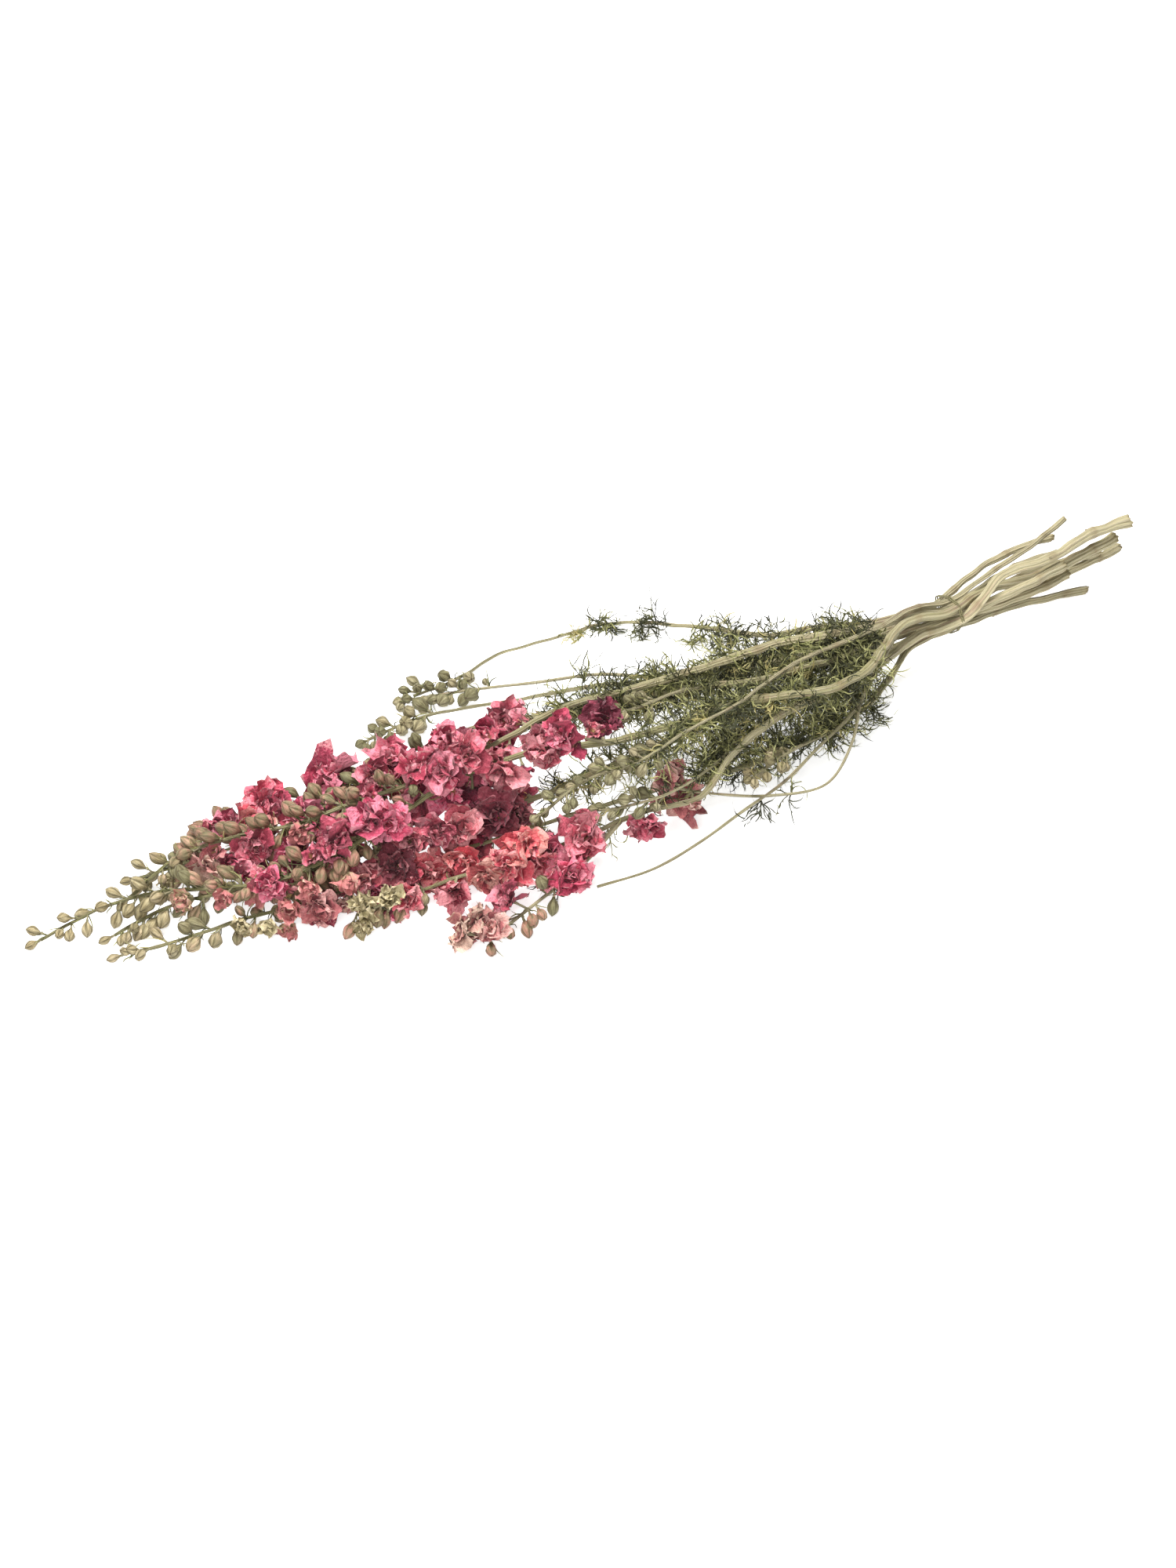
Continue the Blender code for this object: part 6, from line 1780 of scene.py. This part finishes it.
def bracts(flowers, draw):
    """Two threads at the root of each flower's stalk, which lean out beside it and curl."""
    roots = np.repeat([flower.root() for flower in flowers], 2, axis=0)
    ways = np.repeat([flower.direction for flower in flowers], 2, axis=0)
    ways = normalised(ways + draw.normal(0, BRACT_OFF, ways.shape))
    curl = draw.normal(0, 1.4, len(roots))
    length = draw.uniform(*BRACT_LENGTH, len(roots)) * MM
    paths, _ = curling(roots, ways, length, curl, THREAD_POINTS, draw)
    return threads(paths, BRACT_THICK, draw.uniform(0.3, 1.0, len(roots)), (0.3, 1.0), draw)


def leaf_finish():
    """Dark olive, with lighter, yellower tips and a few straw threads, in soft patches and by the leaf."""
    made = Finish("dried_leaf_thread", {"Roughness": 0.7})
    reach, tone = made.number("reach"), made.number("tone")
    patch = made.place().noise(46.0, 3.0)
    fine = made.place().noise(340.0, 2.0)
    green = ((tone - 0.5) * 1.2 + (patch - 0.5) * 1.4 + (fine - 0.5) * 0.8 + 0.4).step(0.0, 1.0)
    body = green.mix(colour(52, 54, 24), colour(118, 120, 62))
    tip = (reach + (fine - 0.5) * 1.0 + (tone - 0.5) * 0.9).step(0.5, 1.15) * 0.75
    tipped = tip.mix(body, colour(190, 187, 126))
    straw = (tone + (patch - 0.5) * 0.6 - 0.92).step(0.0, 0.1) * 0.7
    made.feed("Base Color", straw.mix(tipped, colour(196, 178, 116)))
    made.bump(made.place().noise(900.0, 2.0), 0.0003)
    return made.material


def middle_line(x):
    """The middle of all main stems where they pass each x, by a mean over the samples of a short stretch."""
    near = np.abs(samples[None, :, 0] - x[:, None]) < MIDDLE_SPAN
    return (near[..., None] * samples[None]).sum(axis=1) / near.sum(axis=1)[:, None]


def leaf_places(axis, columns, draw):
    """Where leaves grow along a thick stretch, which way they point and how spread they are: turned by the
    golden angle, leaning along the stem, and drawn down and in towards the middle of the bunch."""
    first, last, length = axis.stretch(columns)
    marks = np.linspace(axis.fine[first], axis.fine[last], max(2, round(length / LEAF_STEP)))
    at = curve_through(axis.knots, marks)
    ahead = normalised(np.gradient(at, axis=0))
    turns = GOLDEN_ANGLE * np.arange(len(at)) + draw.normal(0, 0.4, len(at))
    lean = draw.uniform(*SPRIG_LEAN.get(axis.name, LEAN), len(at))
    side = normalised(np.cross(ahead, [0.0, 0.0, 1.0]))
    out = side * np.cos(turns)[:, None] + np.cross(ahead, side) * np.sin(turns)[:, None]
    inwards = (middle_line(at[:, 0]) - at) / REACH_IN
    own = out * np.cos(lean)[:, None] + ahead * np.sin(lean)[:, None]
    ways = normalised(own + inwards * DRAWN_IN - np.array([0.0, 0.0, DROOP]))
    return at, ways, draw.uniform(*LEAF_SPREAD, len(at))


samples = np.vstack([axes[name].line for name in STEMS])
fronds = place_fronds(axes, crowd, seed=41)
leaf_material = leaf_finish()
for name in STEMS:
    draw = drawing(29, name)
    own = grown_on(name, fronds)
    places = [([frond.root() for frond in own], [frond.direction for frond in own], [1.0] * len(own))]
    for axis in axes.values():
        if axis.stem == name:
            places += [leaf_places(axis, columns, draw) for columns in LEAFY.get(axis.name, [])]
    roots, ways, spread = (np.concatenate(rows) for rows in zip(*places))
    parts = leaf_parts(roots, ways, spread, draw)
    parts.append(bracts(grown_on(name, [*blooms, *florets, *buds]), draw))
    new_piece(name + "_leaves", parts, leaf_material)


# The tie. A thin elastic cord wound twice round all ten stems at the neck, pressed to their outline. Its two
# turns lie side by side.

TIE_THICK = 0.8 * MM
TIE_TURN_PITCH = 1.3 * MM
# How many pitches the cord moves along the stems in all.
TIE_RUN = 1.9
TIE_STEPS = 240
TIE_SIDES = 10


def tie_path():
    """Two turns round the neck. In each direction they reach as far as the furthest stem there, then step
    sideways by one thread over each turn."""
    neck = spot(*NECK_SPOT)
    held = []
    for name in STEMS:
        x, y, z = axes[name].line[::-1].T
        held.append([np.interp(neck[0], x, row) for row in (y, z, axes[name].radii[::-1])])
    held = np.array(held)
    middle = held[:, :2].mean(axis=0)
    turns = np.linspace(0.0, math.tau, TIE_STEPS, endpoint=False)
    out = np.column_stack([np.cos(turns), np.sin(turns)])
    reach = ((held[None, :, :2] - middle) * out[:, None]).sum(2) + held[None, :, 2]
    hull = reach.max(axis=1) + TIE_THICK / 2
    fit = np.array([min(h / (o @ p) for h, o in zip(hull, out) if o @ p > 0.2) for p in out])
    around = np.concatenate([out * fit[:, None]] * 2) + middle
    across = neck[0] + TIE_TURN_PITCH * (np.linspace(0, 1, len(around)) - 0.5) * TIE_RUN
    return np.column_stack([across, around])


def elastic_finish():
    """Olive rubber in a knitted sleeve: fine stitches of dark and pale olive."""
    made = Finish("elastic_thread", {"Roughness": 0.55})
    stitch = made.place().stretched(2600.0, 2600.0, 2600.0).noise(1.0, 1.0)
    made.feed("Base Color", stitch.step(0.35, 0.65).mix(colour(84, 80, 48), colour(150, 142, 98)))
    made.bump(stitch, 0.0002)
    return made.material


path = tie_path()
turns = math.tau * np.arange(TIE_SIDES) / TIE_SIDES
cord = rings_along(path[None], np.full((1, len(path), 1), TIE_THICK / 2), turns)
new_piece("tie_elastic", [tubes(cord)], elastic_finish(), node="tie")


# The table and the light. A plain pale surface, far larger than the bunch, lies under it. Two large soft
# lamps shine from above and from the front, with a little light from all round.

FLOOR_SIZE = 40.0
SKY = 0.2
# Each lamp's place and power, and the side of both.
LAMPS = {"overhead": ((-0.15, 0.15, 1.7), 56.0), "front": ((-1.1, -1.2, 1.2), 25.0)}
LAMP_SIZE = 0.8
# The floor glows a little with light of its own, though it is no lamp, so that the bunch's shadow stays
# faint. The glow also lights the bunch a little from below.
FLOOR_GLOW = 0.7


def floor_finish():
    """Nearly white, with a faint mottle that only shows close by, and an emitted glow that washes out the
    bunch's shadow.
    """
    glow = {"Emission Color": (1.0, 1.0, 1.0, 1.0), "Emission Strength": FLOOR_GLOW}
    made = Finish("pale_floor", {"Roughness": 0.9, **glow})
    mottle = made.place().noise(14.0, 3.0)
    made.feed("Base Color", mottle.mix(colour(252, 252, 252), colour(246, 246, 246)))
    return made.material


half = FLOOR_SIZE / 2
mesh = bpy.data.meshes.new("floor")
mesh.from_pydata([(-half, -half, 0), (half, -half, 0), (half, half, 0), (-half, half, 0)], [], [(0, 1, 2, 3)])
mesh.materials.append(floor_finish())
floor = shown("floor", mesh)

world = bpy.data.worlds.new("studio")
world.use_nodes = True
world.node_tree.nodes["Background"].inputs["Color"].default_value = (1.0, 1.0, 1.0, 1.0)
world.node_tree.nodes["Background"].inputs["Strength"].default_value = SKY
bpy.context.scene.world = world
bpy.context.scene.view_settings.view_transform = "Standard"


def lamp(name, place, power):
    """A square soft lamp that shines at the middle of the bunch."""
    light = bpy.data.lights.new(name, "AREA")
    light.size, light.energy = LAMP_SIZE, power
    way = unit(np.array(place))
    side = unit(np.cross([0.0, 0.0, 1.0], way)) if abs(way[2]) < 0.99 else np.array([1.0, 0.0, 0.0])
    shown(name, light).matrix_world = aimed(place, side, np.cross(way, side), way)


for name, (place, power) in LAMPS.items():
    lamp(name, place, power)
